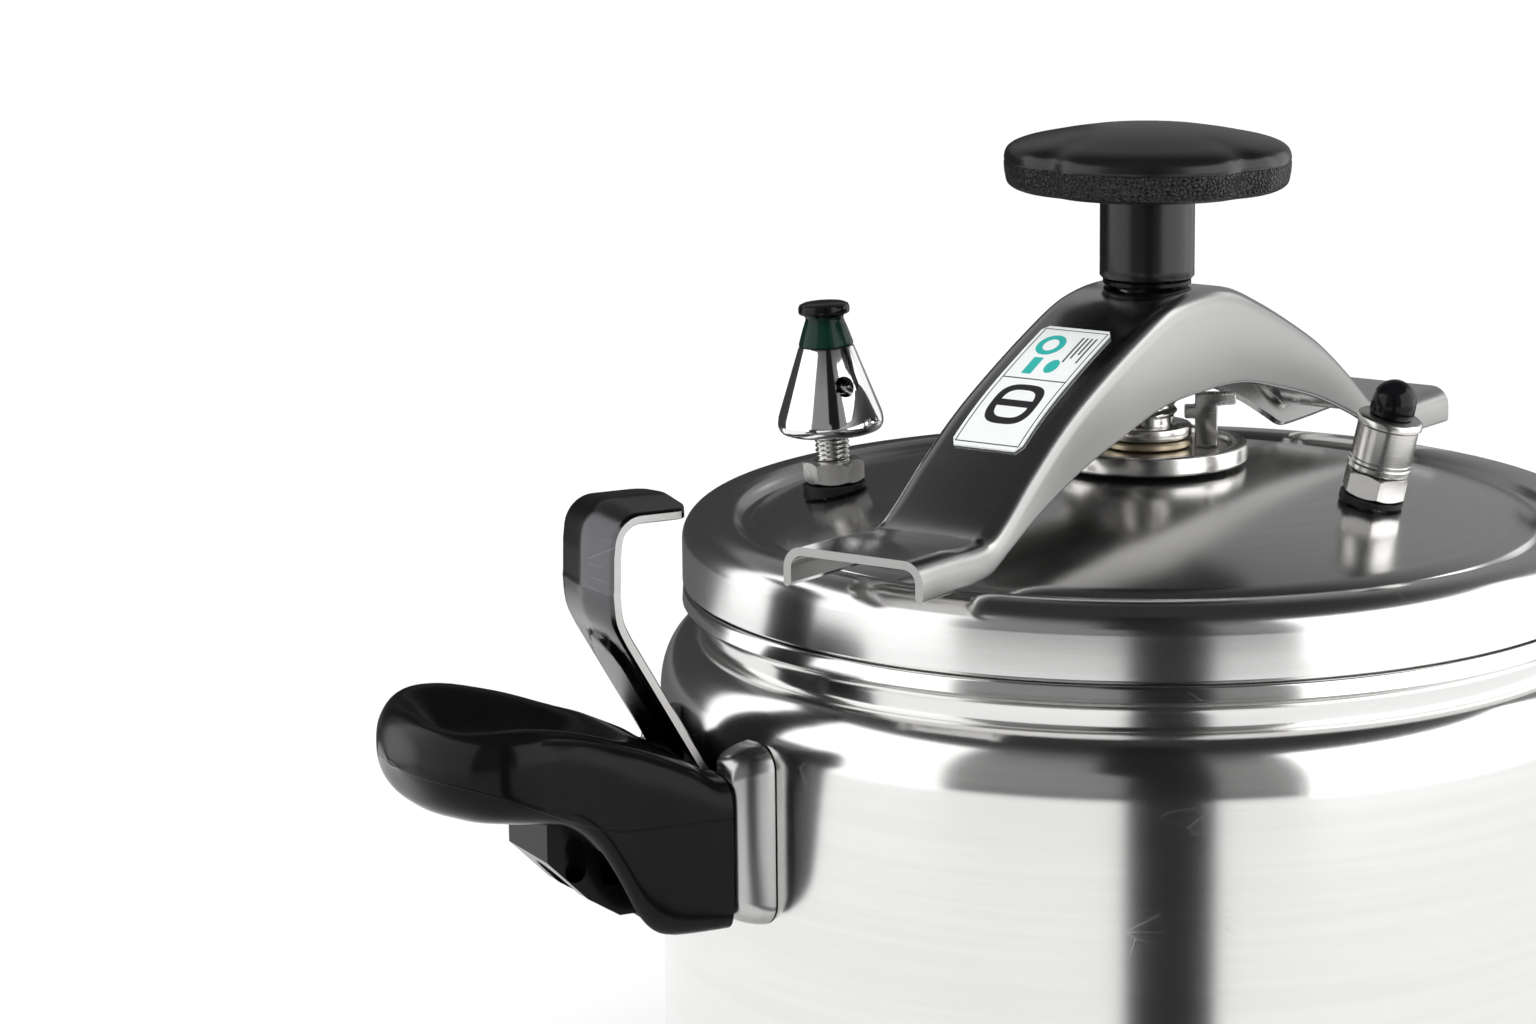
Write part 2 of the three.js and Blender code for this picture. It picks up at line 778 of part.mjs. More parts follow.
function weightBody() {
  const z = weightBottom;
  const body = turned([
    [0, z], [10.6, z], [12.2, z + 0.8], [13, z + 2.6], [12.8, z + 4.4],
    [6.9, z + 21.4], [6.7, z + 21.6], [0, z + 21.6],
  ], midSteps);
  const seat = turned([[0, z - 1], [4.8, z - 1], [4.8, z + 6.2], [3, z + 10], [0, z + 10]], fineSteps);
  const facing = -93.5 - ventAngle;
  const bore = cylinder(2.5, 0, 20, fineSteps).rotateY(Math.PI / 2);
  const port = bore.rotateZ(facing * degrees).translate(0, 0, z + 12.6);
  const well = cylinder(3, z + 8, z + 15, fineSteps);
  return cut(body, seat, port, well);
}

function weightCap() {
  const z = weightBottom + 21.6 + gap;
  return turned([
    [0, z], [6.7, z], [6.5, z + 0.8], [4.6, z + 6.6], [5.2, z + 7.4], [6.3, z + 7.9], [6.3, z + 9.4],
    [5.6, z + 10.2], [0, z + 10.6],
  ], midSteps);
}

// ---------------------------------------------------------------- relief valve

const reliefHexLow = 2.4;        // above the panel, along the valve's own axis
const barrelLow = 8.6;
const barrelHigh = 22.3;

function reliefBase() {
  const hex = hexagon(14, reliefHexLow, 8.3);
  const stem = cylinder(4.8, -10.4, 8, fineSteps);
  return cut(join(hex, stem), cylinder(2, -12, 12, fineSteps));
}

function reliefWasher() {
  return wedgeWasher(reliefRadius, reliefTilt, 5.1, reliefHexLow - gap);
}

function reliefInnerNut() {
  return cut(hexagon(14, -8.4, -3.6), cylinder(5.1, -10, 0, fineSteps));
}

function reliefBarrel() {
  return ring([
    [6.2, barrelLow], [7.2, barrelLow], [7.7, 9.2], [7.7, 10], [7.4, 10.6], [7.4, 19.8],
    [8, 20.4], [8, 21.4], [7.2, barrelHigh], [3, barrelHigh], [3, barrelHigh - 1.8], [6.2, barrelHigh - 1.8],
  ], midSteps);
}

function reliefPlunger() {
  return turned([
    [0, barrelLow], [5.6, barrelLow], [5.6, barrelLow + 1.6], [2, barrelLow + 1.6], [2, 26], [0, 26],
  ], fineSteps);
}

function reliefDome() {
  return turned([
    [2.4, barrelHigh + gap], [5.4, barrelHigh + gap],
    ...arc(0, 25.6, 5.4, 5.6, 0, 90, 4),
    [0, 26.4], [2.4, 26.4], [2.4, barrelHigh + gap],
  ], fineSteps);
}

class Helix extends THREE.Curve {
  constructor(radius, low, high, turns) {
    super();
    Object.assign(this, { radius, low, high, turns });
  }

  getPoint(t, target = new THREE.Vector3()) {
    const angle = 2 * Math.PI * this.turns * t;
    const z = this.low + (this.high - this.low) * t;
    return target.set(this.radius * Math.cos(angle), this.radius * Math.sin(angle), z);
  }
}

function reliefSpring() {
  const wire = 0.45;
  const section = new THREE.Shape();
  section.absarc(0, 0, wire, 0, 2 * Math.PI, false);
  const path = new Helix(3.9, barrelLow + 2.6, barrelHigh - 2.8, 4);
  const geometry = new THREE.ExtrudeGeometry(section, {
    steps: 40, curveSegments: 3, bevelEnabled: false, extrudePath: path,
  });
  return closed(geometry);
}

// ---------------------------------------------------------------- assembly

const cooker = new THREE.Group();

cooker.add(mesh('pot_body', potBody(), steel));
cooker.add(mesh('base_disc', baseDisc(), aluminium));

for (const [side, turn] of [['left', Math.PI], ['right', 0]]) {
  const group = new THREE.Group();
  group.rotation.z = turn;
  group.add(mesh(`handle_bracket_${side}`, bracket(), steel));
  group.add(mesh(`handle_${side}`, handle(), bakelite));
  group.add(mesh(`handle_screw_${side}`, handleScrew(), steel));
  group.add(mesh(`handle_nut_${side}`, handleNut(), steel));
  group.add(mesh(`hook_pin_${side}`, hookPin(), steel));
  group.add(mesh(`hook_${side}`, hook(), steel));
  cooker.add(group);
}

cooker.add(mesh('lid_shell', lidShell(), brushed));
cooker.add(mesh('sealing_ring', sealingRing(), rubber));
cooker.add(mesh('lid_hub', lidHub(), steel));
cooker.add(mesh('keeper_a', keeper(0), steel));
cooker.add(mesh('keeper_b', keeper(180), steel));

cooker.add(mesh('thrust_cup', thrustCup(), brass));
cooker.add(mesh('screw_spindle', spindle(), steel));
cooker.add(mesh('knob', knob(), bakelite));
cooker.add(mesh('knob_insert', knobInsert(), steel));

const yokeGroup = new THREE.Group();
yokeGroup.rotation.z = yokeAngle * degrees;
yokeGroup.add(mesh('yoke', yoke(), steel));
yokeGroup.add(mesh('yoke_bush', yokeBush(), steel));
yokeGroup.add(mesh('yoke_collar', yokeCollar(), bakelite));
yokeGroup.add(mesh('label', label(), paper));
cooker.add(yokeGroup);

const vent = standOnPanel(ventRadius, ventAngle, ventTilt);
vent.add(mesh('vent_nipple', ventNipple(), steel));
vent.add(mesh('vent_nut', ventNut(), steel));
vent.add(mesh('vent_washer', ventWasher(), rubber));
vent.add(mesh('vent_inner_nut', ventInnerNut(), steel));
vent.add(mesh('vent_strainer', ventStrainer(), steel));
vent.add(mesh('weight_body', weightBody(), chrome));
vent.add(mesh('weight_cap', weightCap(), green));
cooker.add(vent);

const relief = standOnPanel(reliefRadius, reliefAngle, reliefTilt);
relief.add(mesh('relief_base', reliefBase(), steel));
relief.add(mesh('relief_washer', reliefWasher(), rubber));
relief.add(mesh('relief_inner_nut', reliefInnerNut(), steel));
relief.add(mesh('relief_barrel', reliefBarrel(), brushed));
relief.add(mesh('relief_plunger', reliefPlunger(), brass));
relief.add(mesh('relief_dome', reliefDome(), rubber));
relief.add(mesh('relief_spring', reliefSpring(), steel));
cooker.add(relief);

export default cooker;
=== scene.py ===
"""Looks of a stovetop pressure cooker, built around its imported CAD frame.

Shapes are drawn in millimetres, in each piece's own frame, and scaled to metres when the
mesh is made. The frame's origin is on the pot's axis, at the underside of its base.
"""

import math

import bmesh
import bpy
from mathutils import Matrix, Vector


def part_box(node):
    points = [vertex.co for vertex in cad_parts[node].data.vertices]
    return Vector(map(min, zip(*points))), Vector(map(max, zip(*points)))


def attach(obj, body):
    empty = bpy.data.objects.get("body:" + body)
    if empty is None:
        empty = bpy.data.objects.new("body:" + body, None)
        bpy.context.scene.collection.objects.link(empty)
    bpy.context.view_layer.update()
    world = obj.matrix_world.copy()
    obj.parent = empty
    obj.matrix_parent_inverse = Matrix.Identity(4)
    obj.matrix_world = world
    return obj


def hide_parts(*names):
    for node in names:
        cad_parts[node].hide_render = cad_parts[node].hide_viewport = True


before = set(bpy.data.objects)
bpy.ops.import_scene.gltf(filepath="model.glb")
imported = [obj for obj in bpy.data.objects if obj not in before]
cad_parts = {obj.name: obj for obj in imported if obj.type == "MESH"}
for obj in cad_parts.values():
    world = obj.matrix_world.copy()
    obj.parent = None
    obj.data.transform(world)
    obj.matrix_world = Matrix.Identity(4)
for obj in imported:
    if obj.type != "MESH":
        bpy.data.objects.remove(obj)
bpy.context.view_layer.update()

# ------------------------------------------------------------------ driving dimensions

MM = 0.001
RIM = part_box("lid_shell")[0].z / MM  # lower edge of the lid's skirt
POT_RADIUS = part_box("pot_body")[1].y / MM
LID_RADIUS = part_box("lid_shell")[1].y / MM
HANDLE_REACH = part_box("handle_right")[1].x / MM
HANDLE_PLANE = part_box("handle_right")[0].x / MM
KNOB_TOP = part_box("knob")[1].z / MM
KNOB_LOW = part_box("knob")[0].z / MM
KNOB_HEAD = 15.4
KNOB_UNDER = KNOB_TOP - KNOB_HEAD
HUB_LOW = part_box("lid_hub")[0].z / MM
HUB_FLOOR = HUB_LOW + 3.6  # where the thrust pad and the keepers start
PLATE_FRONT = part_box("handle_bracket_right")[1].x / MM

GAP = 0.3
SHEET = 1.2
LID_SHEET = 1.5
NECK_RADIUS = 110
BEAD_RADIUS = 114.3
CORNER = 14
SHOULDER_DROP = 27  # from the lid's skirt down to where the neck starts to draw in
SHOULDER_RISE = 15.5
FLOOR_Z = 5.5
CREST_RADIUS = 106.5
PANEL_CENTRE = 28.5
PANEL_FALL = 0.00145
PANEL_RADIUS = 96.4
SCREW_RADIUS = 7.7
YOKE_TOP = RIM + 72
YOKE_SHEET = 2
YOKE_REACH = 130
PIN_REACH = 129.8
PIN_Z = RIM - 34.7
BOLT_Z = RIM - 56
PLATE_LOW = RIM - 67  # the lower edge of the bracket and of the handle
PLATE_HIGH = RIM - 23  # the bracket's upper edge
STRAP_HALF = 14
LIP_Z = RIM + 30.8  # middle of the hook's lip

YOKE_ANGLE = 28.5  # degrees about +Z
LOBE_ANGLE = -31.5
KEEPER_ANGLE = -31.5
VENT_AT = (76.6, 149.5, 3)  # radius and angle on the lid, and how far it leans out
RELIEF_AT = (60, -57.5, 13)

# ------------------------------------------------------------------ curves and outlines


def arc(centre_r, centre_z, radius_r, radius_z, start, end, steps=10):
    """Points on an elliptical arc, angles in degrees."""
    out = []
    for i in range(steps + 1):
        a = math.radians(start + (end - start) * i / steps)
        out.append((centre_r + radius_r * math.cos(a), centre_z + radius_z * math.sin(a)))
    return out


def smoothstep(x, low, high):
    t = min(max((x - low) / (high - low), 0), 1)
    return t * t * (3 - 2 * t)


def curve_at(points, x):
    """A smooth curve through (x, y) points, read at x."""
    if x <= points[0][0]:
        return points[0][1]
    if x >= points[-1][0]:
        return points[-1][1]
    last = len(points) - 1
    i = max(k for k in range(last) if points[k][0] <= x)

    def slope(k):
        if k in (0, last):
            return 0
        return (points[k + 1][1] - points[k - 1][1]) / (points[k + 1][0] - points[k - 1][0])

    x0, y0 = points[i]
    x1, y1 = points[i + 1]
    h = x1 - x0
    t = (x - x0) / h
    start = t * (1 - t) * (1 - t) * h * slope(i)
    end = t * t * (t - 1) * h * slope(i + 1)
    return y0 + (y1 - y0) * t * t * (3 - 2 * t) + start + end


def between(p, q, r, s, t):
    """A smooth curve from q to r, read at t, with p before it and s after it."""
    bend = (2 * p - 5 * q + 4 * r - s) * t * t + (3 * q - p - 3 * r + s) * t**3
    return 0.5 * (2 * q + (r - p) * t + bend)


def through(points, steps=6):
    """Points of any size joined by a smooth path that passes through each of them."""
    out = []
    for i in range(len(points) - 1):
        a = points[max(i - 1, 0)]
        b = points[i]
        c = points[i + 1]
        d = points[min(i + 2, len(points) - 1)]
        for k in range(steps):
            t = k / steps
            out.append(tuple(between(*ends, t) for ends in zip(a, b, c, d)))
    out.append(tuple(points[-1]))
    return out


# ------------------------------------------------------------------ shapes, as (points, faces)


def lathe(profile, steps=64, ring=False):
    """(radius, height) points turned about Z. A ring's profile closes on itself."""
    rows = len(profile)
    points = []
    for r, z in profile:
        for k in range(steps):
            a = 2 * math.pi * k / steps
            points.append((r * math.cos(a), r * math.sin(a), z))
    faces = []
    for i in range(rows if ring else rows - 1):
        for k in range(steps):
            n = (k + 1) % steps
            j = (i + 1) % rows
            faces.append((i * steps + k, i * steps + n, j * steps + n, j * steps + k))
    return points, faces


def loft(loops):
    """Closed loops of 3D points joined into one capped body."""
    count = len(loops[0])
    points = [p for loop in loops for p in loop]
    faces = [tuple(range(count)), tuple(range(len(points) - count, len(points)))]
    for i in range(len(loops) - 1):
        for k in range(count):
            n = (k + 1) % count
            faces.append((i * count + k, i * count + n, (i + 1) * count + n, (i + 1) * count + k))
    return points, faces


def slab(outline, low, high):
    """An outline of (x, z) points pulled along Y."""
    return loft([[(x, low, z) for x, z in outline], [(x, high, z) for x, z in outline]])


def rod(radius, low, high, steps=48):
    return lathe([(0, low), (radius, low), (radius, high), (0, high)], steps)


def block(x, y, z):
    return slab([(x[0], z[0]), (x[1], z[0]), (x[1], z[1]), (x[0], z[1])], y[0], y[1])


def threaded(radius, depth, pitch, low, high, steps=48, rows=6):
    """A rod with a helical thread."""
    count = max(int((high - low) / pitch * rows), 2)
    loops = []
    for j in range(count + 1):
        z = low + (high - low) * j / count
        loop = []
        for k in range(steps):
            phase = (z / pitch - k / steps) % 1
            r = radius - depth * abs(2 * phase - 1)
            a = 2 * math.pi * k / steps
            loop.append((r * math.cos(a), r * math.sin(a), z))
        loops.append(loop)
    return loft(loops)


def moved(shape, matrix):
    points, faces = shape
    return [tuple(matrix @ Vector(p)) for p in points], faces


def quarter_turn(at, axis):
    """A frame at a point, turned by 90 degrees about the axis X or Y."""
    return Matrix.Translation(at) @ Matrix.Rotation(math.pi / 2, 4, axis)


# ------------------------------------------------------------------ Blender objects


def solid(shape, name="tool"):
    """A mesh object from a shape in millimetres, closed and facing outwards."""
    points, faces = shape
    mesh = bpy.data.meshes.new(name)
    mesh.from_pydata([[c * MM for c in p] for p in points], [], faces)
    work = bmesh.new()
    work.from_mesh(mesh)
    bmesh.ops.remove_doubles(work, verts=work.verts, dist=1e-7)
    bmesh.ops.recalc_face_normals(work, faces=work.faces)
    work.to_mesh(mesh)
    work.free()
    made = bpy.data.objects.new(name, mesh)
    bpy.context.scene.collection.objects.link(made)
    return made


def settled(obj):
    """The object with its modifiers applied."""
    graph = bpy.context.evaluated_depsgraph_get()
    mesh = bpy.data.meshes.new_from_object(obj.evaluated_get(graph))
    obj.modifiers.clear()
    obj.data = mesh
    return obj


def combined(obj, operation, *shapes):
    """obj with each shape joined to it, cut from it or intersected with it."""
    tools = [solid(shape) for shape in shapes]
    for tool in tools:
        step = obj.modifiers.new("combine", "BOOLEAN")
        step.operation = operation
        step.solver = "EXACT"
        step.object = tool
    settled(obj)
    for tool in tools:
        bpy.data.objects.remove(tool)
    return obj


def piece(name, shape, look, body, nodes, slot, place=None, sharp=35, bevel=0.0):
    """A finished piece that stands for CAD nodes and rides on their body."""
    obj = shape if isinstance(shape, bpy.types.Object) else solid(shape)
    obj.name = name
    obj.data.name = name
    if bevel:
        step = obj.modifiers.new("edges", "BEVEL")
        step.width = bevel * MM
        step.segments = 2
        step.limit_method = "ANGLE"
        step.angle_limit = math.radians(sharp)
        step.harden_normals = False
        settled(obj)
    obj.data.shade_smooth()
    obj.data.set_sharp_from_angle(angle=math.radians(sharp))
    obj.data.materials.clear()
    obj.data.materials.append(look)
    if place is not None:
        obj.matrix_world = place
    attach(obj, body)
    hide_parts(*nodes)
    return obj


def turn(degrees):
    return Matrix.Rotation(math.radians(degrees), 4, "Z")


def panel_z(radius):
    return RIM + PANEL_CENTRE - PANEL_FALL * radius * radius


def on_panel(radius, angle, lean):
    """A frame on the lid's panel that leans outwards, in metres."""
    height = panel_z(radius)
    out = math.radians(angle)
    at = Vector((radius * math.cos(out), radius * math.sin(out), height)) * MM
    return Matrix.Translation(at) @ turn(angle) @ Matrix.Rotation(math.radians(lean), 4, "Y")


# ------------------------------------------------------------------ node graphs


class Graph:
    """Short calls for building a node tree."""

    def __init__(self, tree):
        self.tree = tree

    def add(self, kind, inputs=None, **settings):
        node = self.tree.nodes.new(kind)
        for key, value in settings.items():
            setattr(node, key, value)
        for key, value in (inputs or {}).items():
            self.put(node.inputs[key], value)
        return node

    def put(self, socket, value):
        if isinstance(value, bpy.types.NodeSocket):
            self.tree.links.new(value, socket)
        else:
            socket.default_value = value

    def math(self, operation, a, b=0.0, c=0.0):
        node = self.add("ShaderNodeMath", operation=operation)
        for socket, value in zip(node.inputs, (a, b, c)):
            self.put(socket, value)
        return node.outputs[0]

    def remap(self, value, low, high, to_low=0.0, to_high=1.0, smooth=True):
        node = self.add("ShaderNodeMapRange", interpolation_type="SMOOTHSTEP" if smooth else "LINEAR")
        keys = ("Value", "From Min", "From Max", "To Min", "To Max")
        for key, item in zip(keys, (value, low, high, to_low, to_high)):
            self.put(node.inputs[key], item)
        return node.outputs["Result"]

    def band(self, value, low, high, soft):
        """1 between low and high, 0 outside, with soft edges."""
        up = self.remap(value, low - soft, low + soft)
        down = self.remap(value, high - soft, high + soft, 1.0, 0.0)
        return self.math("MULTIPLY", up, down)

    def mix(self, factor, a, b):
        node = self.add("ShaderNodeMix", data_type="RGBA")
        self.put(node.inputs[0], factor)
        for socket, value in ((node.inputs[6], a), (node.inputs[7], b)):
            self.put(socket, value if isinstance(value, bpy.types.NodeSocket) else (*value, 1.0))
        return node.outputs[2]

    def noise(self, vector, scale, detail=3.0, rough=0.55):
        inputs = {"Vector": vector, "Scale": scale, "Detail": detail, "Roughness": rough}
        return self.add("ShaderNodeTexNoise", inputs).outputs["Fac"]

    def cell_edges(self, vector, scale):
        """The distance from the nearest edge in a pattern of cells."""
        inputs = {"Vector": vector, "Scale": scale}
        return self.add("ShaderNodeTexVoronoi", inputs, feature="DISTANCE_TO_EDGE").outputs["Distance"]

    def scaled(self, vector, x, y, z):
        node = self.add("ShaderNodeVectorMath", operation="MULTIPLY")
        self.put(node.inputs[0], vector)
        self.put(node.inputs[1], (x, y, z))
        return node.outputs[0]

    def split(self, vector):
        node = self.add("ShaderNodeSeparateXYZ", {"Vector": vector})
        return node.outputs[0], node.outputs[1], node.outputs[2]

    def join(self, x, y, z):
        return self.add("ShaderNodeCombineXYZ", {"X": x, "Y": y, "Z": z}).outputs[0]

    def bump(self, height, distance, strength=1.0, normal=None):
        inputs = {"Height": height, "Distance": distance, "Strength": strength}
        if normal is not None:
            inputs["Normal"] = normal
        return self.add("ShaderNodeBump", inputs).outputs["Normal"]


def surface(name):
    """A new material's graph, its shader and its object coordinates."""
    made = bpy.data.materials.new(name)
    made.use_nodes = True
    graph = Graph(made.node_tree)
    shader = made.node_tree.nodes["Principled BSDF"]
    place = graph.add("ShaderNodeTexCoord").outputs["Object"]
    return made, graph, shader, place


def turned_place(graph, place, along, across):
    """Coordinates that run round the Z axis, for the marks that spinning and polishing leave."""
    x, y, z = graph.split(place)
    angle = graph.math("ARCTAN2", y, x)
    radius = graph.math("SQRT", graph.math("ADD", graph.math("MULTIPLY", x, x), graph.math("MULTIPLY", y, y)))
    height = graph.math("MULTIPLY", graph.math("ADD", radius, z), across)
    return graph.join(graph.math("MULTIPLY", angle, along), height, graph.math("MULTIPLY", radius, across))


def steel(
    name, tone, rough, lines=0.3, grain="turned", scratches=0.0, waves=0.0, edge=0.0, sides=0.0
):
    """Stainless steel with polishing lines, faint clouds, hairline scratches and bright worn edges. With
    sides, the upright faces are made rougher and their colour is painted half as dark, as painted shade.
    """
    made, g, shader, place = surface(name)
    if grain == "turned":
        fine = turned_place(g, place, 2.2, 2600.0)
        broad = turned_place(g, place, 1.1, 420.0)
    elif grain == "long":
        fine = g.scaled(place, 30.0, 2600.0, 2600.0)
        broad = g.scaled(place, 12.0, 420.0, 420.0)
    else:
        fine = g.scaled(place, 1500.0, 1500.0, 1500.0)
        broad = g.scaled(place, 160.0, 160.0, 160.0)
    hair = g.noise(fine, 1.0, 4.0, 0.65)
    streak = g.noise(broad, 1.0, 3.0, 0.6)
    cloud = g.noise(place, 14.0, 3.0, 0.5)
    cracks = g.cell_edges(g.scaled(place, 70.0, 46.0, 210.0), 1.0)
    rare = g.remap(g.noise(place, 60.0, 2.0), 0.56, 0.66)
    scratch = g.math("MULTIPLY", g.remap(cracks, 0.0, 0.012, 1.0, 0.0), rare)
    dark = tuple(c * 0.955 for c in tone)
    colour = g.mix(g.remap(streak, 0.3, 0.7), dark, tone)
    colour = g.mix(g.math("MULTIPLY", scratch, scratches), colour, (0.95, 0.94, 0.92))
    g.put(shader.inputs["Base Color"], colour)
    shader.inputs["Metallic"].default_value = 1.0
    level = g.math("ADD", rough - 0.05, g.math("MULTIPLY", hair, 0.05))
    level = g.math("ADD", level, g.math("MULTIPLY", cloud, 0.05))
    level = g.math("ADD", level, g.math("MULTIPLY", scratch, 0.2 * scratches))
    if edge:
        worn = g.add("ShaderNodeNewGeometry").outputs["Pointiness"]
        level = g.math("ADD", level, g.remap(worn, 0.52, 0.6, 0.0, edge))
    # sides: upright faces get extra roughness, and their colour is painted half as dark, which is painted
    # shade on those faces.
    if sides:
        _, _, up = g.split(g.add("ShaderNodeTexCoord").outputs["Normal"])
        side = g.remap(g.math("ABSOLUTE", up), 0.35, 0.75, 1.0, 0.0)
        level = g.math("ADD", level, g.math("MULTIPLY", side, sides))
        colour = g.mix(side, colour, tuple(c * 0.5 for c in tone))
        g.put(shader.inputs["Base Color"], colour)
    g.put(shader.inputs["Roughness"], level)
    normal = g.bump(hair, 0.00002, lines)
    if waves:
        normal = g.bump(g.noise(place, 22.0, 1.0), 0.001, waves, normal)
    g.put(shader.inputs["Normal"], normal)
    return made


def moulded(name, tone, rough, gloss=0.2, grain=0.0, band=None, seam=None):
    """Glossy moulded plastic: flow marks, dust-fine texture, and a grained band between two heights."""
    made, g, shader, place = surface(name)
    cloud = g.noise(place, 35.0, 4.0)
    speck = g.noise(place, 900.0, 2.0)
    dark, light = (tuple(c * share for c in tone) for share in (0.8, 1.25))
    g.put(shader.inputs["Base Color"], g.mix(cloud, dark, light))
    level = g.math("ADD", rough - 0.04, g.math("MULTIPLY", cloud, 0.08))
    normal = g.bump(cloud, 0.0004, 0.05)
    normal = g.bump(speck, 0.00003, 0.25, normal)
    if band:
        _, _, z = g.split(place)
        mask = g.band(z, band[0] * MM, band[1] * MM, 0.0001)
        bent = g.add("ShaderNodeVectorMath", operation="ADD")
        g.put(bent.inputs[0], place)
        drift = g.add("ShaderNodeTexNoise", {"Vector": place, "Scale": 900.0}).outputs["Color"]
        g.put(bent.inputs[1], g.scaled(drift, 0.0006, 0.0006, 0.0006))
        leather = g.remap(g.cell_edges(bent.outputs[0], 850.0), 0.0, 0.3)
        height = g.math("MULTIPLY", leather, mask)
        normal = g.bump(height, 0.0006, grain, normal)
        level = g.math("ADD", level, g.math("MULTIPLY", mask, 0.08))
    if seam:
        x, _, z = g.split(place)
        out = g.math("ABSOLUTE", x)
        line = g.remap(out, seam[0] * MM, seam[1] * MM, seam[2] * MM, seam[3] * MM)
        off = g.math("ABSOLUTE", g.math("SUBTRACT", z, line))
        normal = g.bump(g.remap(off, 0.0001, 0.0003, 1.0, 0.0), 0.00025, 0.8, normal)
    g.put(shader.inputs["Roughness"], level)
    g.put(shader.inputs["Normal"], normal)
    shader.inputs["Specular IOR Level"].default_value = gloss
    return made


# ------------------------------------------------------------------ the looks

STEEL_TONE = (0.80, 0.795, 0.785)
pot_look = steel("pot_steel", STEEL_TONE, 0.16, lines=0.03, scratches=0.5)
lid_look = steel("lid_steel", (0.74, 0.735, 0.73), 0.19, lines=0.06, scratches=0.35)
# The yoke's upright side flanges are painted darker through sides: painted shade, along with real satin
# roughness.
yoke_look = steel(
    "yoke_steel", (0.70, 0.695, 0.685), 0.17, lines=0.05, grain="long", scratches=0.3, waves=0.05, sides=0.2
)
# The hook's steel tone is painted near black: a painted dark reflection, standing in for the dark
# surroundings that the polished strap mirrors.
hook_painted_dark_look = steel("hook_steel", (0.085, 0.085, 0.09), 0.2, lines=0.2, grain="long", waves=0.12, scratches=0.1)
edge_look = steel("sheared_edge", (0.62, 0.61, 0.6), 0.45, lines=1.0, grain="cast", scratches=0.6)
bracket_look = steel("bracket_steel", (0.5, 0.497, 0.49), 0.24, lines=0.1, grain="cast", waves=0.05)
hardware_look = steel("hardware_steel", (0.74, 0.73, 0.71), 0.2, lines=0.4, edge=0.1, scratches=0.4)
barrel_look = steel("barrel_steel", (0.70, 0.69, 0.67), 0.26, lines=0.9)
chrome_look = steel("weight_chrome", (0.86, 0.86, 0.86), 0.08, lines=0.08)
aluminium_look = steel("base_aluminium", (0.72, 0.72, 0.73), 0.36, lines=1.0)
brass_look = steel("brass", (0.66, 0.57, 0.42), 0.28, lines=0.6, edge=0.1)
SEAM = (150, 198, RIM - 39, RIM - 23)  # the handle's parting line: from and to, outwards and up
KNOB_BAND = (KNOB_UNDER + 0.8, KNOB_UNDER + 6.9)
bakelite_look = moulded("bakelite", (0.004, 0.004, 0.0045), 0.19, gloss=0.14, seam=SEAM)
knob_look = moulded(
    "knob_bakelite", (0.007, 0.007, 0.0075), 0.27, gloss=0.42, grain=1.0, band=KNOB_BAND
)
rubber_look = moulded("black_rubber", (0.014, 0.014, 0.015), 0.42)
dome_look = moulded("valve_dome", (0.005, 0.005, 0.006), 0.16)
seal_look = moulded("seal_rubber", (0.03, 0.03, 0.031), 0.5)
green_look = moulded("cap_green", (0.004, 0.028, 0.017), 0.2)


def hardware(name, shape, body, node, place=None, **finish):
    """A piece of bright machined steel."""
    return piece(name, shape, hardware_look, body, [node], "hardware_steel", place, **finish)


# ------------------------------------------------------------------ pot


def pot_wall():
    shoulder = POT_RADIUS - NECK_RADIUS
    outer = [
        (0, FLOOR_Z),
        *arc(POT_RADIUS - CORNER, FLOOR_Z + CORNER, CORNER, CORNER, -90, 0, 12),
        *arc(NECK_RADIUS, RIM - SHOULDER_DROP, shoulder, SHOULDER_RISE, 0, 90, 18),
        *arc(NECK_RADIUS + 4.3, RIM - 8.8, 4.3, 4.2, 180, 90, 8),
        *arc(BEAD_RADIUS - 1.2, RIM - 2.6, 1.2, 1.9, 30, 90, 5),
        (111.6, RIM - 0.7),
        (111.6, RIM + 3.2),
        (110.9, RIM + 3.9),
    ]
    inner = [
        (109.4, RIM + 3.9),
        (NECK_RADIUS - SHEET, RIM + 3.2),
        *arc(NECK_RADIUS - SHEET, RIM - SHOULDER_DROP, shoulder, SHOULDER_RISE - SHEET, 90, 0, 18),
        *arc(POT_RADIUS - CORNER, FLOOR_Z + CORNER, CORNER - SHEET, CORNER - SHEET, 0, -90, 12),
        (0, FLOOR_Z + SHEET),
    ]
    return lathe([*outer, *inner], 224)


def base_plate():
    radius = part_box("base_disc")[1].y / MM
    top = FLOOR_Z - GAP
    rings = []
    for k in range(12, 0, -1):
        r = k * 8.2
        rings.extend([(r, 0), (r - 0.3, 0.25), (r - 0.9, 0.25), (r - 1.2, 0)])
    under = [(0, 0), *reversed(rings)]
    edge = [(radius - 2.2, 0), (radius - 0.6, 0.6), (radius, 2.2), (radius, top - 0.8), (radius - 0.8, top)]
    return lathe([*under, *edge, (0, top)], 192)


piece("pot_wall", pot_wall(), pot_look, "pot", ["pot_body"], "polished_steel", sharp=40)
piece("base_plate", base_plate(), aluminium_look, "pot", ["base_disc"], "base_aluminium")

# ------------------------------------------------------------------ side handles and hooks

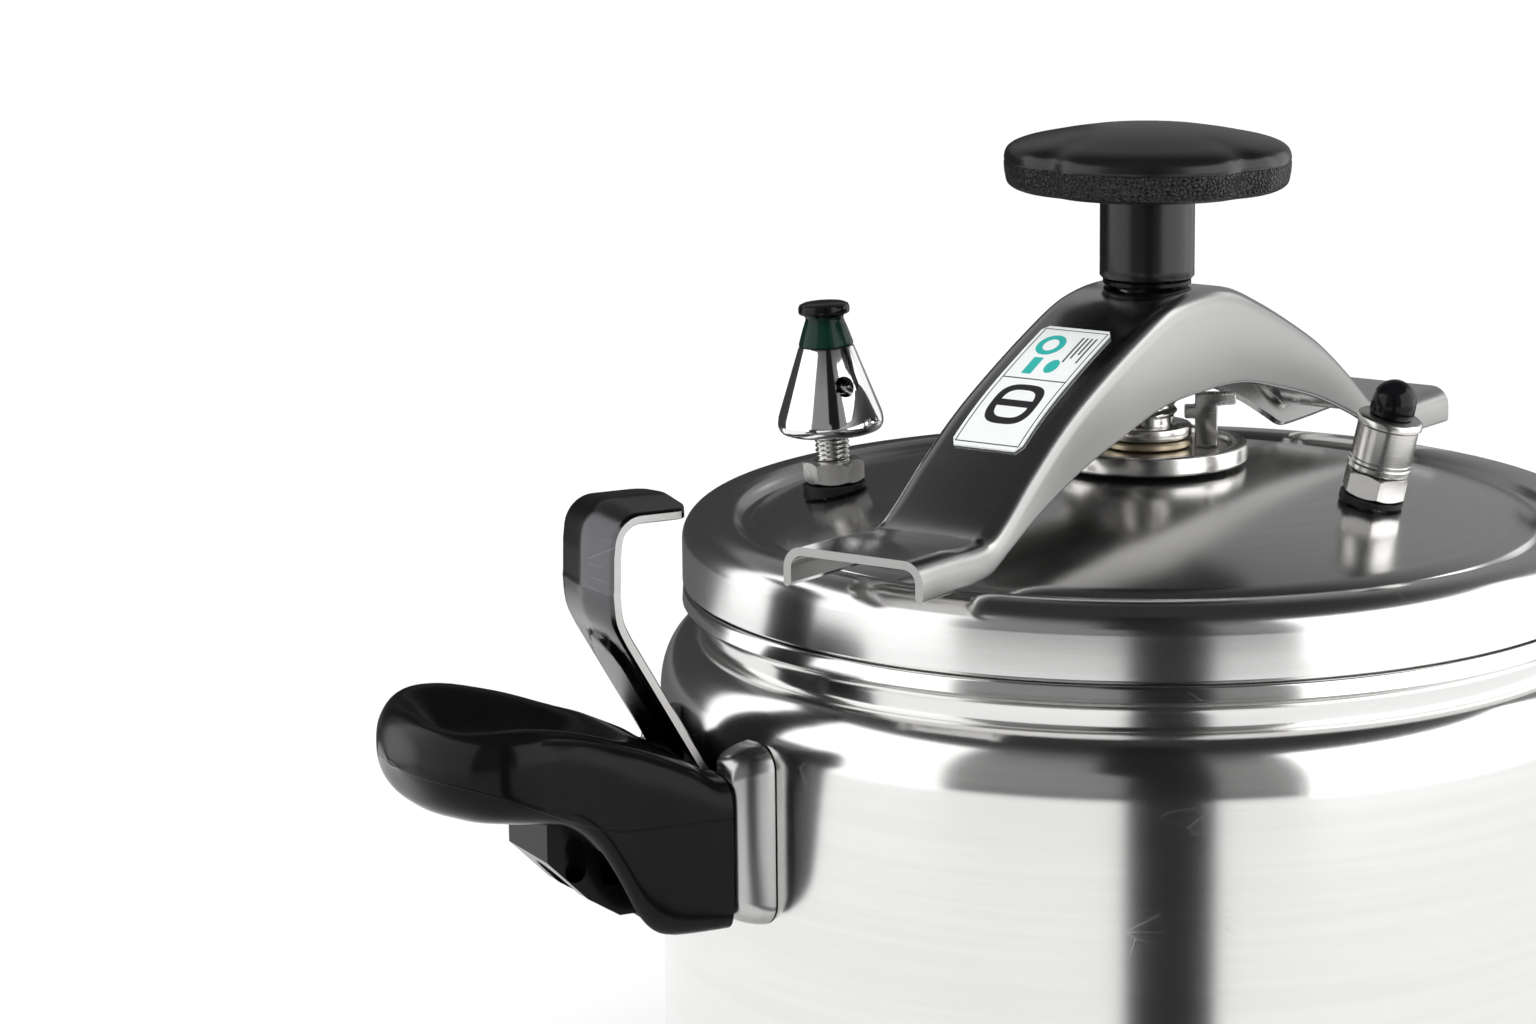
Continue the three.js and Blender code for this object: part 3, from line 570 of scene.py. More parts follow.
HANDLE_TOP = [
    (HANDLE_PLANE, -30), (136, -25.5), (150, -18.8), (165, -12.6), (180, -9), (192, -9.8), (198, -14.5),
    (HANDLE_REACH, -21.8),
]
HANDLE_LOW = [
    (HANDLE_PLANE, -67), (141, -67), (146, -65.5), (150, -61), (154, -53), (159, -44.5), (165, -39),
    (172, -36.6),
    (182, -35), (190, -34), (196.5, -31), (HANDLE_REACH, -22.9),
]
HANDLE_HALF = [
    (HANDLE_PLANE, 27), (140, 26.3), (152, 25.5), (165, 27), (178, 30), (188, 28.5), (195, 21),
    (198.5, 12), (HANDLE_REACH, 3),
]
HANDLE_SQUARE = [(HANDLE_PLANE, 0.26), (150, 0.3), (168, 0.44), (185, 0.55), (HANDLE_REACH, 0.85)]


def grip_loop(x, count=112):
    """One cross-section of the handle, with the finger scoop pressed into its top."""
    top = curve_at(HANDLE_TOP, x)
    low = curve_at(HANDLE_LOW, x)
    half = curve_at(HANDLE_HALF, x)
    power = curve_at(HANDLE_SQUARE, x)
    middle, height = (top + low) / 2, (top - low) / 2
    reach = smoothstep(x, 145, 163) * (1 - smoothstep(x, 182, 197))
    loop = []
    for k in range(count):
        a = 2 * math.pi * (k + 0.5) / count
        c, s = math.cos(a), math.sin(a)
        y = half * math.copysign(abs(c) ** power, c)
        z = middle + height * math.copysign(abs(s) ** power, s)
        if s > 0:
            z -= 12 * reach * (1 - smoothstep(abs(y) / half, 0.25, 0.92)) * smoothstep(s, 0, 0.5)
        loop.append((x, y, RIM + z))
    return loop


def handle():
    span = HANDLE_REACH - HANDLE_PLANE
    stations = [HANDLE_PLANE + span * math.sin(math.pi / 2 * k / 72) for k in range(73)]
    body = solid(loft([grip_loop(x) for x in stations]))
    low = PLATE_LOW
    hollow = slab([
        (140, low - 1), (153, low - 1), (180, RIM - 30), (168, RIM - 39), (160, RIM - 43),
        (150, RIM - 46), (140, RIM - 46),
    ], -22.5, 22.5)
    combined(body, "DIFFERENCE", hollow)
    rib = slab([
        (138, RIM - 34), (138, low + 4), (149, low + 4), (157, low + 9), (167, low + 19),
        (167, RIM - 37), (150, RIM - 33),
    ], -11, 11)
    combined(body, "UNION", rib)
    slots = []
    for x, size in ((151, 10), (160, 6)):
        for side in (-1, 1):
            oval = [*arc(0, size / 2, 2.6, 2.6, 0, 180, 10), *arc(0, -size / 2, 2.6, 2.6, 180, 360, 10)]
            slots.append(slab([(x + u, RIM - 48 + v) for u, v in oval], side * 12 - 6, side * 12 + 6))
    pocket = slab([
        (120, RIM - 45), (134.6, RIM - 45), (136.2, RIM - 36), (137, RIM - 30), (144, RIM - 18),
        (144, RIM - 5), (120, RIM - 5),
    ], -16, 16)
    across = quarter_turn((PIN_REACH, 0, PIN_Z), "X")
    along = quarter_turn((0, 0, BOLT_Z), "Y")
    holes = [
        moved(rod(2.3, -24.5, 24.5, 32), across),
        moved(rod(2.8, 120, 145, 32), along),
        moved(rod(5.6, 137, 175, 40), along),
    ]
    combined(body, "DIFFERENCE", pocket, *slots, *holes)
    return body


def bracket():
    low, high, half, corner, plate = PLATE_LOW, PLATE_HIGH, 28, 6, 2
    outline = [
        *arc(half - corner, low + corner, corner, corner, -90, 0, 8),
        *arc(half - corner, high - corner, corner, corner, 0, 90, 8),
        *arc(corner - half, high - corner, corner, corner, 90, 180, 8),
        *arc(corner - half, low + corner, corner, corner, 180, 270, 8),
    ]
    roll, draw = 12, 5  # the sides curve in by the draw over the last part of their depth
    loops = []
    for k in range(15):
        a = math.radians(90 * k / 14)
        inset = draw * (1 - math.cos(a))
        x = PLATE_FRONT - roll + roll * math.sin(a)
        scale_y, scale_z = (half - inset) / half, 1 - inset / ((high - low) / 2)
        middle = (low + high) / 2
        loops.append([(x, y * scale_y, middle + (z - middle) * scale_z) for y, z in outline])
    loops.insert(0, [(100, y, z) for y, z in outline])
    body = solid(loft(loops))
    wall_at = draw + plate
    across = (wall_at - half, half - wall_at)
    inside = block((99, PLATE_FRONT - plate), across, (low + wall_at, high - wall_at))
    window = block((99, PLATE_FRONT + 1), (-18, 18), (RIM - 46, high + 1))
    wall = rod(POT_RADIUS + GAP, 0, RIM + 20, 192)
    bolt = moved(rod(2.8, 99, 140, 32), quarter_turn((0, 0, BOLT_Z), "Y"))
    return combined(body, "DIFFERENCE", inside, window, wall, bolt)


def strap_path():
    """The hook's centre line in the XZ plane, from the rolled eye to the lip."""
    lean = math.radians(30)
    along = (math.sin(lean), math.cos(lean))
    roll = 3.7
    outward = (math.cos(lean), -math.sin(lean))
    start = (PIN_REACH - outward[0] * roll, PIN_Z - outward[1] * roll)
    first = math.degrees(math.atan2(-outward[1], -outward[0]))
    eye = [(PIN_REACH + u, PIN_Z + v) for u, v in arc(0, 0, roll, roll, first + 300, first, 30)]
    length = (RIM + 6 - start[1]) / along[1]
    knee = (start[0] + along[0] * length, RIM + 6)
    leg = [
        (start[0] + along[0] * length * k / 20, start[1] + along[1] * length * k / 20)
        for k in range(1, 19)
    ]
    rise = through([
        leg[-1], (knee[0] - 0.1, knee[1] + 1), (knee[0] + 0.6, knee[1] + 7),
        (knee[0] + 0.5, RIM + 15), (knee[0] + 0.3, RIM + 23),
    ], 8)
    bend = arc(knee[0] - 6, LIP_Z - 6.2, 6, 6.2, 8, 90, 10)
    lip = [(knee[0] - 6 - k, LIP_Z) for k in range(1, 13)]
    return [*eye, *leg, *rise[1:-1], *bend, *lip], len(eye)


def hook():
    """A pressed strap: a rounded tongue is raised up its lower half, and its upper half is crowned."""
    path, eye_points = strap_path()
    half, thick = STRAP_HALF, 2.6
    tongue_end, knee_at = 33, 42
    loops = []
    run = 0.0
    for i, (x, z) in enumerate(path):
        before, after = path[max(i - 1, 0)], path[min(i + 1, len(path) - 1)]
        dx, dz = after[0] - before[0], after[1] - before[1]
        size = math.hypot(dx, dz)
        nx, nz = dz / size, -dx / size
        if i >= eye_points:
            run += math.hypot(x - path[i - 1][0], z - path[i - 1][1])
        left_over = len(path) - 1 - i
        corner = 3.0 * (1 - math.sqrt(max(0, 1 - (1 - min(left_over, 3) / 3) ** 2)))
        outer, inner = [], []
        for k in range(41):
            t = -1 + 2 * k / 40
            y = (half - corner) * t
            off = math.hypot(y, max(run - tongue_end, 0))
            push = 1.3 * (1 - smoothstep(off, 7.4, 9.4)) * smoothstep(run, 3, 9)
            push += 1.5 * smoothstep(run, knee_at - 4, knee_at + 8) * (1 - math.sqrt((y / half) ** 2 + 0.01))
            round_off = 0.5 * max(abs(t) * half - half + 0.8, 0) / 0.8
            front = thick / 2 + push - round_off
            back = thick / 2 - push - round_off
            outer.append((x + nx * front, y, z + nz * front))
            inner.append((x - nx * back, y, z - nz * back))
        loops.append([*outer, *reversed(inner)])
    return loft(loops)


def handle_bolt():
    profile = [
        (0, 121.2), (2.4, 121.2), (2.4, 137.4), (5, 137.4), (5, 139), (4.4, 140), (3.2, 140.7), (0, 141),
    ]
    body = solid(lathe(profile, 48))
    for size in ((0.5, 3.6), (3.6, 0.5)):
        combined(body, "DIFFERENCE", block((-size[0], size[0]), (-size[1], size[1]), (139.6, 142)))
    body.data.transform(quarter_turn((0, 0, BOLT_Z * MM), "Y"))
    return body


def edge_faces(obj, look):
    """The strap's sheared side faces get the rough edge look."""
    obj.data.materials.append(look)
    for face in obj.data.polygons:
        if abs(face.normal.y) > 0.9 and abs(face.center.y) > (STRAP_HALF - 0.2) * MM:
            face.material_index = 1


for side, angle in (("left", 180), ("right", 0)):
    place = turn(angle)
    bracket_node = f"handle_bracket_{side}"
    piece(f"bracket_{side}", bracket(), bracket_look, "pot", [bracket_node], "polished_steel", place, 30)
    piece(f"grip_{side}", handle(), bakelite_look, "pot", [f"handle_{side}"], "black_bakelite", place, 38)
    hardware(f"bolt_{side}", handle_bolt(), "pot", f"handle_screw_{side}", place)
    pin_at = quarter_turn((PIN_REACH, 0, PIN_Z), "X")
    pin = lathe([(0, -24), (1.6, -24), (2, -23.5), (2, 23.5), (1.6, 24), (0, 24)], 32)
    hardware(f"pin_{side}", moved(pin, pin_at), "pot", f"hook_pin_{side}", place)
    body = f"hook_{side}"
    strap = piece(f"strap_{side}", hook(), hook_painted_dark_look, body, [f"hook_{side}"], "hook_steel", place, 40)
    edge_faces(strap, edge_look)

# ------------------------------------------------------------------ lid


def lid():
    panel = [0, 12, 24, 36, 48, 60, 72, 84, 91]
    crest, bend = 17.2, 10.5  # heights above RIM
    across = LID_RADIUS - CREST_RADIUS
    groove = [
        (104, RIM + 16.9), (101.8, RIM + 15.9), (100.4, RIM + 14.6), (99.2, RIM + 13.7), (97.9, RIM + 13.6),
        (PANEL_RADIUS, panel_z(PANEL_RADIUS)),
    ]
    outer = [
        (LID_RADIUS - LID_SHEET, RIM + 0.3),
        (LID_RADIUS - LID_SHEET + 0.4, RIM),
        (LID_RADIUS - 0.4, RIM),
        (LID_RADIUS, RIM + 0.4),
        *arc(CREST_RADIUS, RIM + bend, across, crest - bend, 0, 90, 18),
        *through(groove, 4),
        *[(r, panel_z(r)) for r in reversed(panel)],
    ]
    inner = [
        *[(r, panel_z(r) - LID_SHEET) for r in panel],
        (PANEL_RADIUS - 0.5, panel_z(PANEL_RADIUS) - LID_SHEET),
        (97.6, RIM + 12.1),
        (99.6, RIM + 12.2),
        (101.2, RIM + 13.2),
        (102.6, RIM + 14.5),
        (104.4, RIM + 15.4),
        *arc(CREST_RADIUS, RIM + bend, across - LID_SHEET, crest - bend - LID_SHEET, 90, 0, 14),
    ]
    body = solid(lathe([*outer, *inner], 224, ring=True))
    holes = []
    for spot, size in ((VENT_AT, 4.6), (RELIEF_AT, 5.3)):
        at = on_panel(*spot)
        at.translation = at.translation / MM
        holes.append(moved(rod(size, -8, 8, 40), at))
    return combined(body, "DIFFERENCE", *holes)


def seal():
    return lathe([
        (104, RIM + 4.2), (111.6, RIM + 4.2), (112.2, RIM + 5), (112.2, RIM + 9.8), (110.4, RIM + 11.4),
        (108.2, RIM + 9),
        (105.8, RIM + 9), (104.2, RIM + 12.6), (103, RIM + 12),
    ], 160, ring=True)


def hub():
    high = HUB_LOW + 4.5
    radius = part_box("lid_hub")[1].y / MM
    return lathe([
        (0, HUB_LOW), (radius - 0.6, HUB_LOW), (radius, HUB_LOW + 0.6), (radius, high - 0.7),
        (radius - 0.2, high - 0.25),
        (radius - 0.7, high), (21.7, high), (21.2, high - 0.3), (21, high - 1.2), (0, high - 1.2),
    ], 96)


def keeper():
    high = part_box("keeper_a")[1].z / MM
    inner, outer, ear, lip = 12.0, 17.5, 22.0, 9.4
    return slab([
        (inner, HUB_FLOOR), (outer, HUB_FLOOR), (outer, high - 2.8), (ear, high - 2.4), (ear, high),
        (inner, high),
        (inner, RIM + 42), (lip, RIM + 42), (lip, RIM + 39.2), (inner, RIM + 39.2),
    ], -2.6, 2.6)


def thrust_pad():
    low = HUB_FLOOR
    high = low + 1.8
    return lathe([(0, low), (11, low), (11.4, low + 0.4), (11.4, low + 1.4), (11, high), (0, high)], 64)


piece("lid_dish", lid(), lid_look, "lid", ["lid_shell"], "lid_steel", sharp=40)
piece("seal_ring", seal(), seal_look, "lid", ["sealing_ring"], "seal_rubber", bevel=0.3)
hardware("hub_disc", hub(), "lid", "lid_hub")
hardware("keeper_post_a", keeper(), "lid", "keeper_a", turn(KEEPER_ANGLE), bevel=0.4)
hardware("keeper_post_b", keeper(), "lid", "keeper_b", turn(KEEPER_ANGLE + 180), bevel=0.4)
piece("thrust_pad", thrust_pad(), brass_look, "thrust", ["thrust_cup"], "brass")

# ------------------------------------------------------------------ centre screw and knob


def spindle():
    foot = HUB_LOW + 5.7
    lower = lathe([
        (0, foot), (10.6, foot), (11.2, foot + 0.6), (11.2, foot + 2.8), (10.8, foot + 3.2),
        (SCREW_RADIUS - 1, foot + 3.6),
        (SCREW_RADIUS - 1, foot + 6), (0, foot + 6),
    ], 64)
    thread = threaded(SCREW_RADIUS, 1.1, 2.5, foot + 5, RIM + 98, 48, 8)
    return combined(solid(thread), "UNION", lower)


KNOB_NECK = 11.6
KNOB_SEAM = KNOB_UNDER + 0.46 * (KNOB_TOP - KNOB_UNDER)
KNOB_SIDE = [  # share of the head's height, radius, depth of the notches
    (0.08, 33.9, 2.1), (0.22, 34.7, 2.3), (0.4, 35, 2.4), (0.57, 34.8, 2.4), (0.68, 33.6, 2.3),
    (0.76, 30.8, 1.9),
    (0.83, 26, 1.2), (0.925, 18, 0.4), (0.985, 9, 0),
]


def lobe(angle):
    """How far the knob's side stands in, from 0 on a lobe to 1 in one of its four notches."""
    off = (math.degrees(angle) - LOBE_ANGLE - 45) % 90
    off = min(off, 90 - off)
    return 0.75 * math.exp(-((off / 8.5) ** 2)) + 0.25 * (1 - smoothstep(off, 0, 40))


def knob():
    """A domed hand wheel with four lobes, over a round neck."""
    height = KNOB_TOP - KNOB_UNDER
    levels = [
        (9.6, KNOB_UNDER + 7, 0), (9.6, KNOB_LOW, 0), (11.2, KNOB_LOW, 0), (KNOB_NECK, KNOB_LOW + 0.5, 0),
    ]
    rise = through([
        (KNOB_NECK, KNOB_LOW + 0.5, 0), (KNOB_NECK, KNOB_UNDER - 4, 0),
        (KNOB_NECK + 0.1, KNOB_UNDER - 2.4, 0),
        (KNOB_NECK + 1.2, KNOB_UNDER - 0.6, 0), (KNOB_NECK + 4, KNOB_UNDER, 0),
        (25, KNOB_UNDER - 0.4, 0.6), (31, KNOB_UNDER, 1.4),
        *[(r, KNOB_UNDER + share * height, depth) for share, r, depth in KNOB_SIDE], (1.5, KNOB_TOP, 0),
    ], 6)
    for r, z, depth in rise[1:]:
        seam = math.exp(-(((z - KNOB_SEAM) / 0.22) ** 2))
        levels.append((r - 0.18 * seam, z, depth))
    levels.append((0.01, KNOB_TOP, 0))
    count = 240
    turnings = [2 * math.pi * k / count for k in range(count)]
    loops = []
    for r, z, depth in levels:
        reach = [r - depth * lobe(a) for a in turnings]
        loops.append([(q * math.cos(a), q * math.sin(a), z) for q, a in zip(reach, turnings)])
    return loft(loops)


def sleeve():
    inner = SCREW_RADIUS + GAP
    low, high = KNOB_LOW + 1.5, KNOB_UNDER + 6.6
    return lathe([(inner, low), (9.3, low), (9.3, high), (inner, high)], 48, ring=True)


hardware("centre_screw", spindle(), "screw", "screw_spindle", sharp=50)
piece("hand_knob", knob(), knob_look, "screw", ["knob"], "black_bakelite", sharp=40)
hardware("knob_sleeve", sleeve(), "screw", "knob_insert")

# ------------------------------------------------------------------ yoke

YOKE_CROWN = [
    (0, 72), (16, 70.4), (30, 65.6), (50, 57), (65, 49.4), (80, 39.6), (90, 32.2), (97, 28.4),
    (104, 27.7), (116, 28.3), (YOKE_REACH, 28.6),
]
YOKE_EDGE = [
    (0, 47), (20, 46), (38, 42), (58, 36.6), (77, 29.6), (90, 23.6), (98, 20), (104, 19.2),
    (YOKE_REACH, 19.2),
]
YOKE_HALF = [(0, 17), (60, 16.5), (92, 16.8), (104, 17.6), (120, 18.2), (YOKE_REACH, 18.6)]


def channel_loop(s):
    """One section of the yoke: a channel open below, with rounded sheet edges."""
    at = abs(s)
    top = RIM + curve_at(YOKE_CROWN, at)
    low = RIM + curve_at(YOKE_EDGE, at)
    half = curve_at(YOKE_HALF, at)
    slope = curve_at(YOKE_CROWN, at + 0.5) - curve_at(YOKE_CROWN, max(at - 0.5, 0))
    web = YOKE_SHEET * math.hypot(1, slope)
    bend, inner, lip = 5, 5 - YOKE_SHEET, YOKE_SHEET / 2
    right = [
        *arc(half - lip, low + lip, lip, lip, -90, 0, 4),
        *arc(half - bend, top - bend, bend, bend, 0, 90, 8),
    ]
    outside = [*right, *[(-t, z) for t, z in reversed(right)]]
    hollow = [(half - YOKE_SHEET, low + lip), *arc(half - bend, top - web - inner, inner, inner, 0, 90, 6)]
    inside = [*hollow, *[(-t, z) for t, z in reversed(hollow)]]
    loop = [*outside, *reversed(inside)]
    return [(s, t, z) for t, z in loop]


def yoke():
    stations = [k * YOKE_REACH / 80 for k in range(-80, 81)]
    body = solid(loft([channel_loop(s) for s in stations]))
    return combined(body, "DIFFERENCE", rod(SCREW_RADIUS + 0.5, RIM + 47, YOKE_TOP + 5, 64))


def bush():
    high = YOKE_TOP - YOKE_SHEET - 1
    body = solid(rod(23 / math.sqrt(3), high - 13, high, 6))
    return combined(body, "DIFFERENCE", rod(SCREW_RADIUS + 0.4, high - 20, high + 5, 64))


def collar():
    inner = SCREW_RADIUS + 0.5
    high = KNOB_LOW - GAP
    return lathe([
        (inner, YOKE_TOP + GAP), (10.5, YOKE_TOP + GAP), (10.8, YOKE_TOP + 0.6), (10.8, high - 0.3),
        (10.5, high), (inner, high),
    ], 96, ring=True)


LABEL_FROM, LABEL_TO, LABEL_HALF = 32, 75, 9.5


def label_shape():
    rows = 24
    loops = []
    for i in range(rows + 1):
        s = LABEL_FROM + (LABEL_TO - LABEL_FROM) * i / rows
        low = RIM + curve_at(YOKE_CROWN, s) + 0.35
        round_off = 1.2 if i in (0, rows) else 0
        half = LABEL_HALF - round_off
        loops.append([(-s, -half, low), (-s, half, low), (-s, half, low + 0.35), (-s, -half, low + 0.35)])
    return loft(loops)


def label_look():
    """Pale sticker stock with generic marks: a teal ring and bars above, a black lozenge below."""
    made, g, shader, place = surface("label_paper")
    x, y, _ = g.split(place)
    s = g.math("MULTIPLY", x, -1 / MM)
    t = g.math("MULTIPLY", y, 1 / MM)
    fleck = g.noise(place, 500.0, 3.0)
    colour = g.mix(fleck, (0.78, 0.82, 0.82), (0.86, 0.88, 0.87))
    ink = (0.02, 0.02, 0.022)
    teal = (0.03, 0.42, 0.38)

    def box(s0, s1, t0, t1):
        return g.math("MULTIPLY", g.band(s, s0, s1, 0.06), g.band(t, t0, t1, 0.06))

    def oval(s0, t0, rs, rt, power=2.0):
        a = g.math("POWER", g.math("ABSOLUTE", g.math("DIVIDE", g.math("SUBTRACT", s, s0), rs)), power)
        b = g.math("POWER", g.math("ABSOLUTE", g.math("DIVIDE", g.math("SUBTRACT", t, t0), rt)), power)
        return g.remap(g.math("ADD", a, b), 0.97, 1.03, 1.0, 0.0)

    def minus(a, b):
        return g.math("MULTIPLY", a, g.math("SUBTRACT", 1.0, b))

    marks = [
        (minus(box(33, 74, -8.7, 8.7), box(33.3, 73.7, -8.4, 8.4)), ink),
        (box(52.6, 53.0, -8.6, 8.6), ink),
        (minus(oval(39.5, 3.4, 4.0, 3.6), oval(39.5, 3.4, 2.3, 1.9)), teal),
        (box(44.6, 51, 2.2, 4.8), teal),
        (oval(47.5, -1.6, 2.6, 1.7), teal),
        (minus(oval(61.5, 0, 6.6, 6.2, 3.0), oval(61.5, 0, 4.6, 4.2, 3.0)), ink),
        (box(60.4, 62.6, -4.6, 4.6), ink),
    ]
    for k in range(4):
        marks.append((box(35.5, 45.5 - 1.6 * (k % 3), -3.6 - 1.2 * k, -3.1 - 1.2 * k), ink))
    for mask, paint in marks:
        colour = g.mix(mask, colour, paint)
    g.put(shader.inputs["Base Color"], colour)
    g.put(shader.inputs["Roughness"], g.math("ADD", 0.28, g.math("MULTIPLY", fleck, 0.12)))
    g.put(shader.inputs["Normal"], g.bump(fleck, 0.00003, 0.3))
    return made


yoke_place = turn(YOKE_ANGLE)
piece("yoke_arm", yoke(), yoke_look, "yoke", ["yoke"], "yoke_steel", yoke_place, 38)
hardware("yoke_boss", bush(), "yoke", "yoke_bush", yoke_place, bevel=0.5)
piece("yoke_ring", collar(), bakelite_look, "yoke", ["yoke_collar"], "black_bakelite", yoke_place)
piece("sticker", label_shape(), label_look(), "yoke", ["label"], "label_paper", yoke_place)

# ------------------------------------------------------------------ vent and weight

vent_place = on_panel(*VENT_AT)
WEIGHT_LOW = 15.2
CAP_LOW = WEIGHT_LOW + 21.9
CAP_TIP = CAP_LOW + 7.3  # the black tip starts here
VENT_NUT = (2.9, 8.4)


def hex_nut(flats, low, high, bore):
    """A nut with its corners turned off at 30 degrees."""
    corner = flats / math.sqrt(3)
    edge = (corner - flats / 2) * 0.577
    body = solid(rod(corner, low, high, 6))
    form = lathe([
        (0, low), (flats / 2 - 0.2, low), (corner + 0.1, low + edge + 0.2),
        (corner + 0.1, high - edge - 0.2),
        (flats / 2 - 0.2, high), (0, high),
    ], 96)
    combined(body, "INTERSECT", form)
    if bore:
        combined(body, "DIFFERENCE", rod(bore, low - 1, high + 1, 48))
    return body


def nipple():
    body = solid(threaded(4.3, 0.5, 1.15, -10, WEIGHT_LOW + 6, 48, 8))
    low, high = WEIGHT_LOW + 5, WEIGHT_LOW + 9.5
    tip = lathe([(0, low), (3.8, low), (3.8, WEIGHT_LOW + 6.2), (2.6, high), (0, high)], 48)
    combined(body, "UNION", tip)
    return combined(body, "DIFFERENCE", rod(1.5, -12, 40, 24))


def strainer():
    body = solid(lathe([
        (0, -15.4), (5.8, -15.4), (7, -14.2), (7, -8.5), (4.7, -8.5), (4.7, -9.5), (6, -9.5),
        (6, -13.8), (5.4, -14.4), (0, -14.4),
    ], 48))
    holes = []
    for k in range(8):
        around = Matrix.Rotation(2 * math.pi * k / 8, 4, "Z") @ quarter_turn((0, 0, -11.8), "Y")
        holes.append(moved(rod(0.9, 5, 8, 16), around))
    return combined(body, "DIFFERENCE", *holes)


def weight():
    z = WEIGHT_LOW
    profile = [
        (0, z), (10.6, z), *through([(10.6, z), (12.2, z + 0.7), (13, z + 2.4), (12.75, z + 4.6)], 4)[1:],
        (6.9, z + 21.2), (6.6, z + 21.6), (0, z + 21.6),
    ]
    body = solid(lathe(profile, 128))
    seat = lathe([(0, z - 1), (4.8, z - 1), (4.8, z + 6.2), (3, z + 10), (0, z + 10)], 48)
    facing = math.radians(-93.5 - VENT_AT[1])
    way = Matrix.Rotation(facing, 4, "Z") @ quarter_turn((0, 0, z + 12.6), "Y")
    port = moved(rod(2.5, 0, 20, 48), way)
    well = rod(3, z + 8, z + 15, 32)
    return combined(body, "DIFFERENCE", seat, port, well)


def cap():
    z = CAP_LOW
    profile = through([(6.7, z), (6.55, z + 0.8), (5.6, z + 3.8), (4.7, z + 6.4), (5.0, z + 7.4)], 5)
    return lathe([
        (0, z), *profile, (6.1, z + 7.8), (6.3, z + 8.2), (6.3, z + 9.2), (6.0, z + 9.9),
        (5.2, z + 10.3), (2.5, z + 10.55), (0, z + 10.6),
    ], 80)


def wedge(at, hole, high):
    """A rubber washer cut to the panel's slope, for a valve that leans."""
    radius, _, lean = at
    slope = math.radians(lean) - math.atan(2 * PANEL_FALL * radius)
    body = solid(lathe([(hole, -3), (7.8, -3), (7.8, high - 0.2), (7.6, high), (hole, high)], 64, ring=True))
    below = moved(rod(30, -30, 0, 64), Matrix.Translation((0, 0, 0.5)) @ Matrix.Rotation(-slope, 4, "Y"))
    return combined(body, "DIFFERENCE", below)


hardware("vent_stem", nipple(), "lid", "vent_nipple", vent_place, sharp=50)
hardware("vent_hex", hex_nut(13, *VENT_NUT, 4.6), "lid", "vent_nut", vent_place)
vent_wedge = wedge(VENT_AT, 4.6, VENT_NUT[0] - GAP)
piece("vent_gasket", vent_wedge, rubber_look, "lid", ["vent_washer"], "black_rubber", vent_place)
hardware("vent_backnut", hex_nut(13, -8.2, -3.4, 4.6), "lid", "vent_inner_nut", vent_place)
hardware("vent_filter", strainer(), "lid", "vent_strainer", vent_place)
piece("weight_cone", weight(), chrome_look, "weight", ["weight_body"], "weight_chrome", vent_place, 40)
cap_piece = piece("weight_top", cap(), green_look, "weight", ["weight_cap"], "cap_green", vent_place, 40)
cap_piece.data.materials.append(dome_look)
for face in cap_piece.data.polygons:
    face.material_index = 1 if face.center.z > CAP_TIP * MM else 0

# ------------------------------------------------------------------ relief valve

relief_place = on_panel(*RELIEF_AT)
BARREL_LOW, BARREL_HIGH = 8.6, 22.3
RELIEF_HEX_LOW = 2.4


def relief_seat():
    body = hex_nut(14, RELIEF_HEX_LOW, 8.3, 0)
    combined(body, "UNION", rod(4.8, -10.4, 8, 48))
    return combined(body, "DIFFERENCE", rod(2, -12, 12, 24))


def barrel():
    return lathe([
        (6.2, BARREL_LOW), (7.2, BARREL_LOW), (7.7, 9.1), (7.7, 10.1), (7.4, 10.5), (7.4, 11.2),
        (7.25, 11.4), (7.4, 11.6),
        (7.4, 19.7), (7.7, 20), (8, 20.3), (8, 21.5), (7.8, 21.9), (7.2, BARREL_HIGH), (3, BARREL_HIGH),
        (3, 20.5), (6.2, 20.5),
    ], 96, ring=True)


def plunger():
    return lathe([(0, BARREL_LOW), (5.6, BARREL_LOW), (5.6, 10.2), (2, 10.2), (2, 26), (0, 26)], 48)


def dome():
    low = BARREL_HIGH + GAP
    return lathe([
        (2.4, low), (5.2, low), (5.4, low + 0.3), *arc(0, 25.6, 5.4, 5.6, 0, 90, 14), (0, 26.4),
        (2.4, 26.4),
    ], 72, ring=True)


def spring():
    wire, radius, turns = 0.45, 3.9, 4
    low, high = BARREL_LOW + 4.7, BARREL_HIGH - 2.8
    section = arc(radius, 0, wire, wire, 0, 324, 9)  # ten points round the wire
    loops = []
    for i in range(161):
        a = 2 * math.pi * turns * i / 160
        z = low + (high - low) * i / 160
        loops.append([(r * math.cos(a), r * math.sin(a), z + up) for r, up in section])
    return loft(loops)


hardware("relief_hex", relief_seat(), "lid", "relief_base", relief_place)
relief_wedge = wedge(RELIEF_AT, 5.1, RELIEF_HEX_LOW - GAP)
piece("relief_gasket", relief_wedge, rubber_look, "lid", ["relief_washer"], "black_rubber", relief_place)
hardware("relief_backnut", hex_nut(14, -8.4, -3.6, 5.1), "lid", "relief_inner_nut", relief_place)
piece("relief_sleeve", barrel(), barrel_look, "lid", ["relief_barrel"], "barrel_steel", relief_place)
piece("relief_pin", plunger(), brass_look, "relief", ["relief_plunger"], "brass", relief_place)
piece("relief_cap", dome(), dome_look, "relief", ["relief_dome"], "black_rubber", relief_place)
hardware("relief_coil", spring(), "lid", "relief_spring", relief_place, sharp=60)

for side in ("left", "right"):
    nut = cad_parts[f"handle_nut_{side}"]
    nut.data.materials.clear()
    nut.data.materials.append(hardware_look)

# ------------------------------------------------------------------ studio

VIEW_ANGLE = -121.5  # where the camera stands, in degrees about +Z


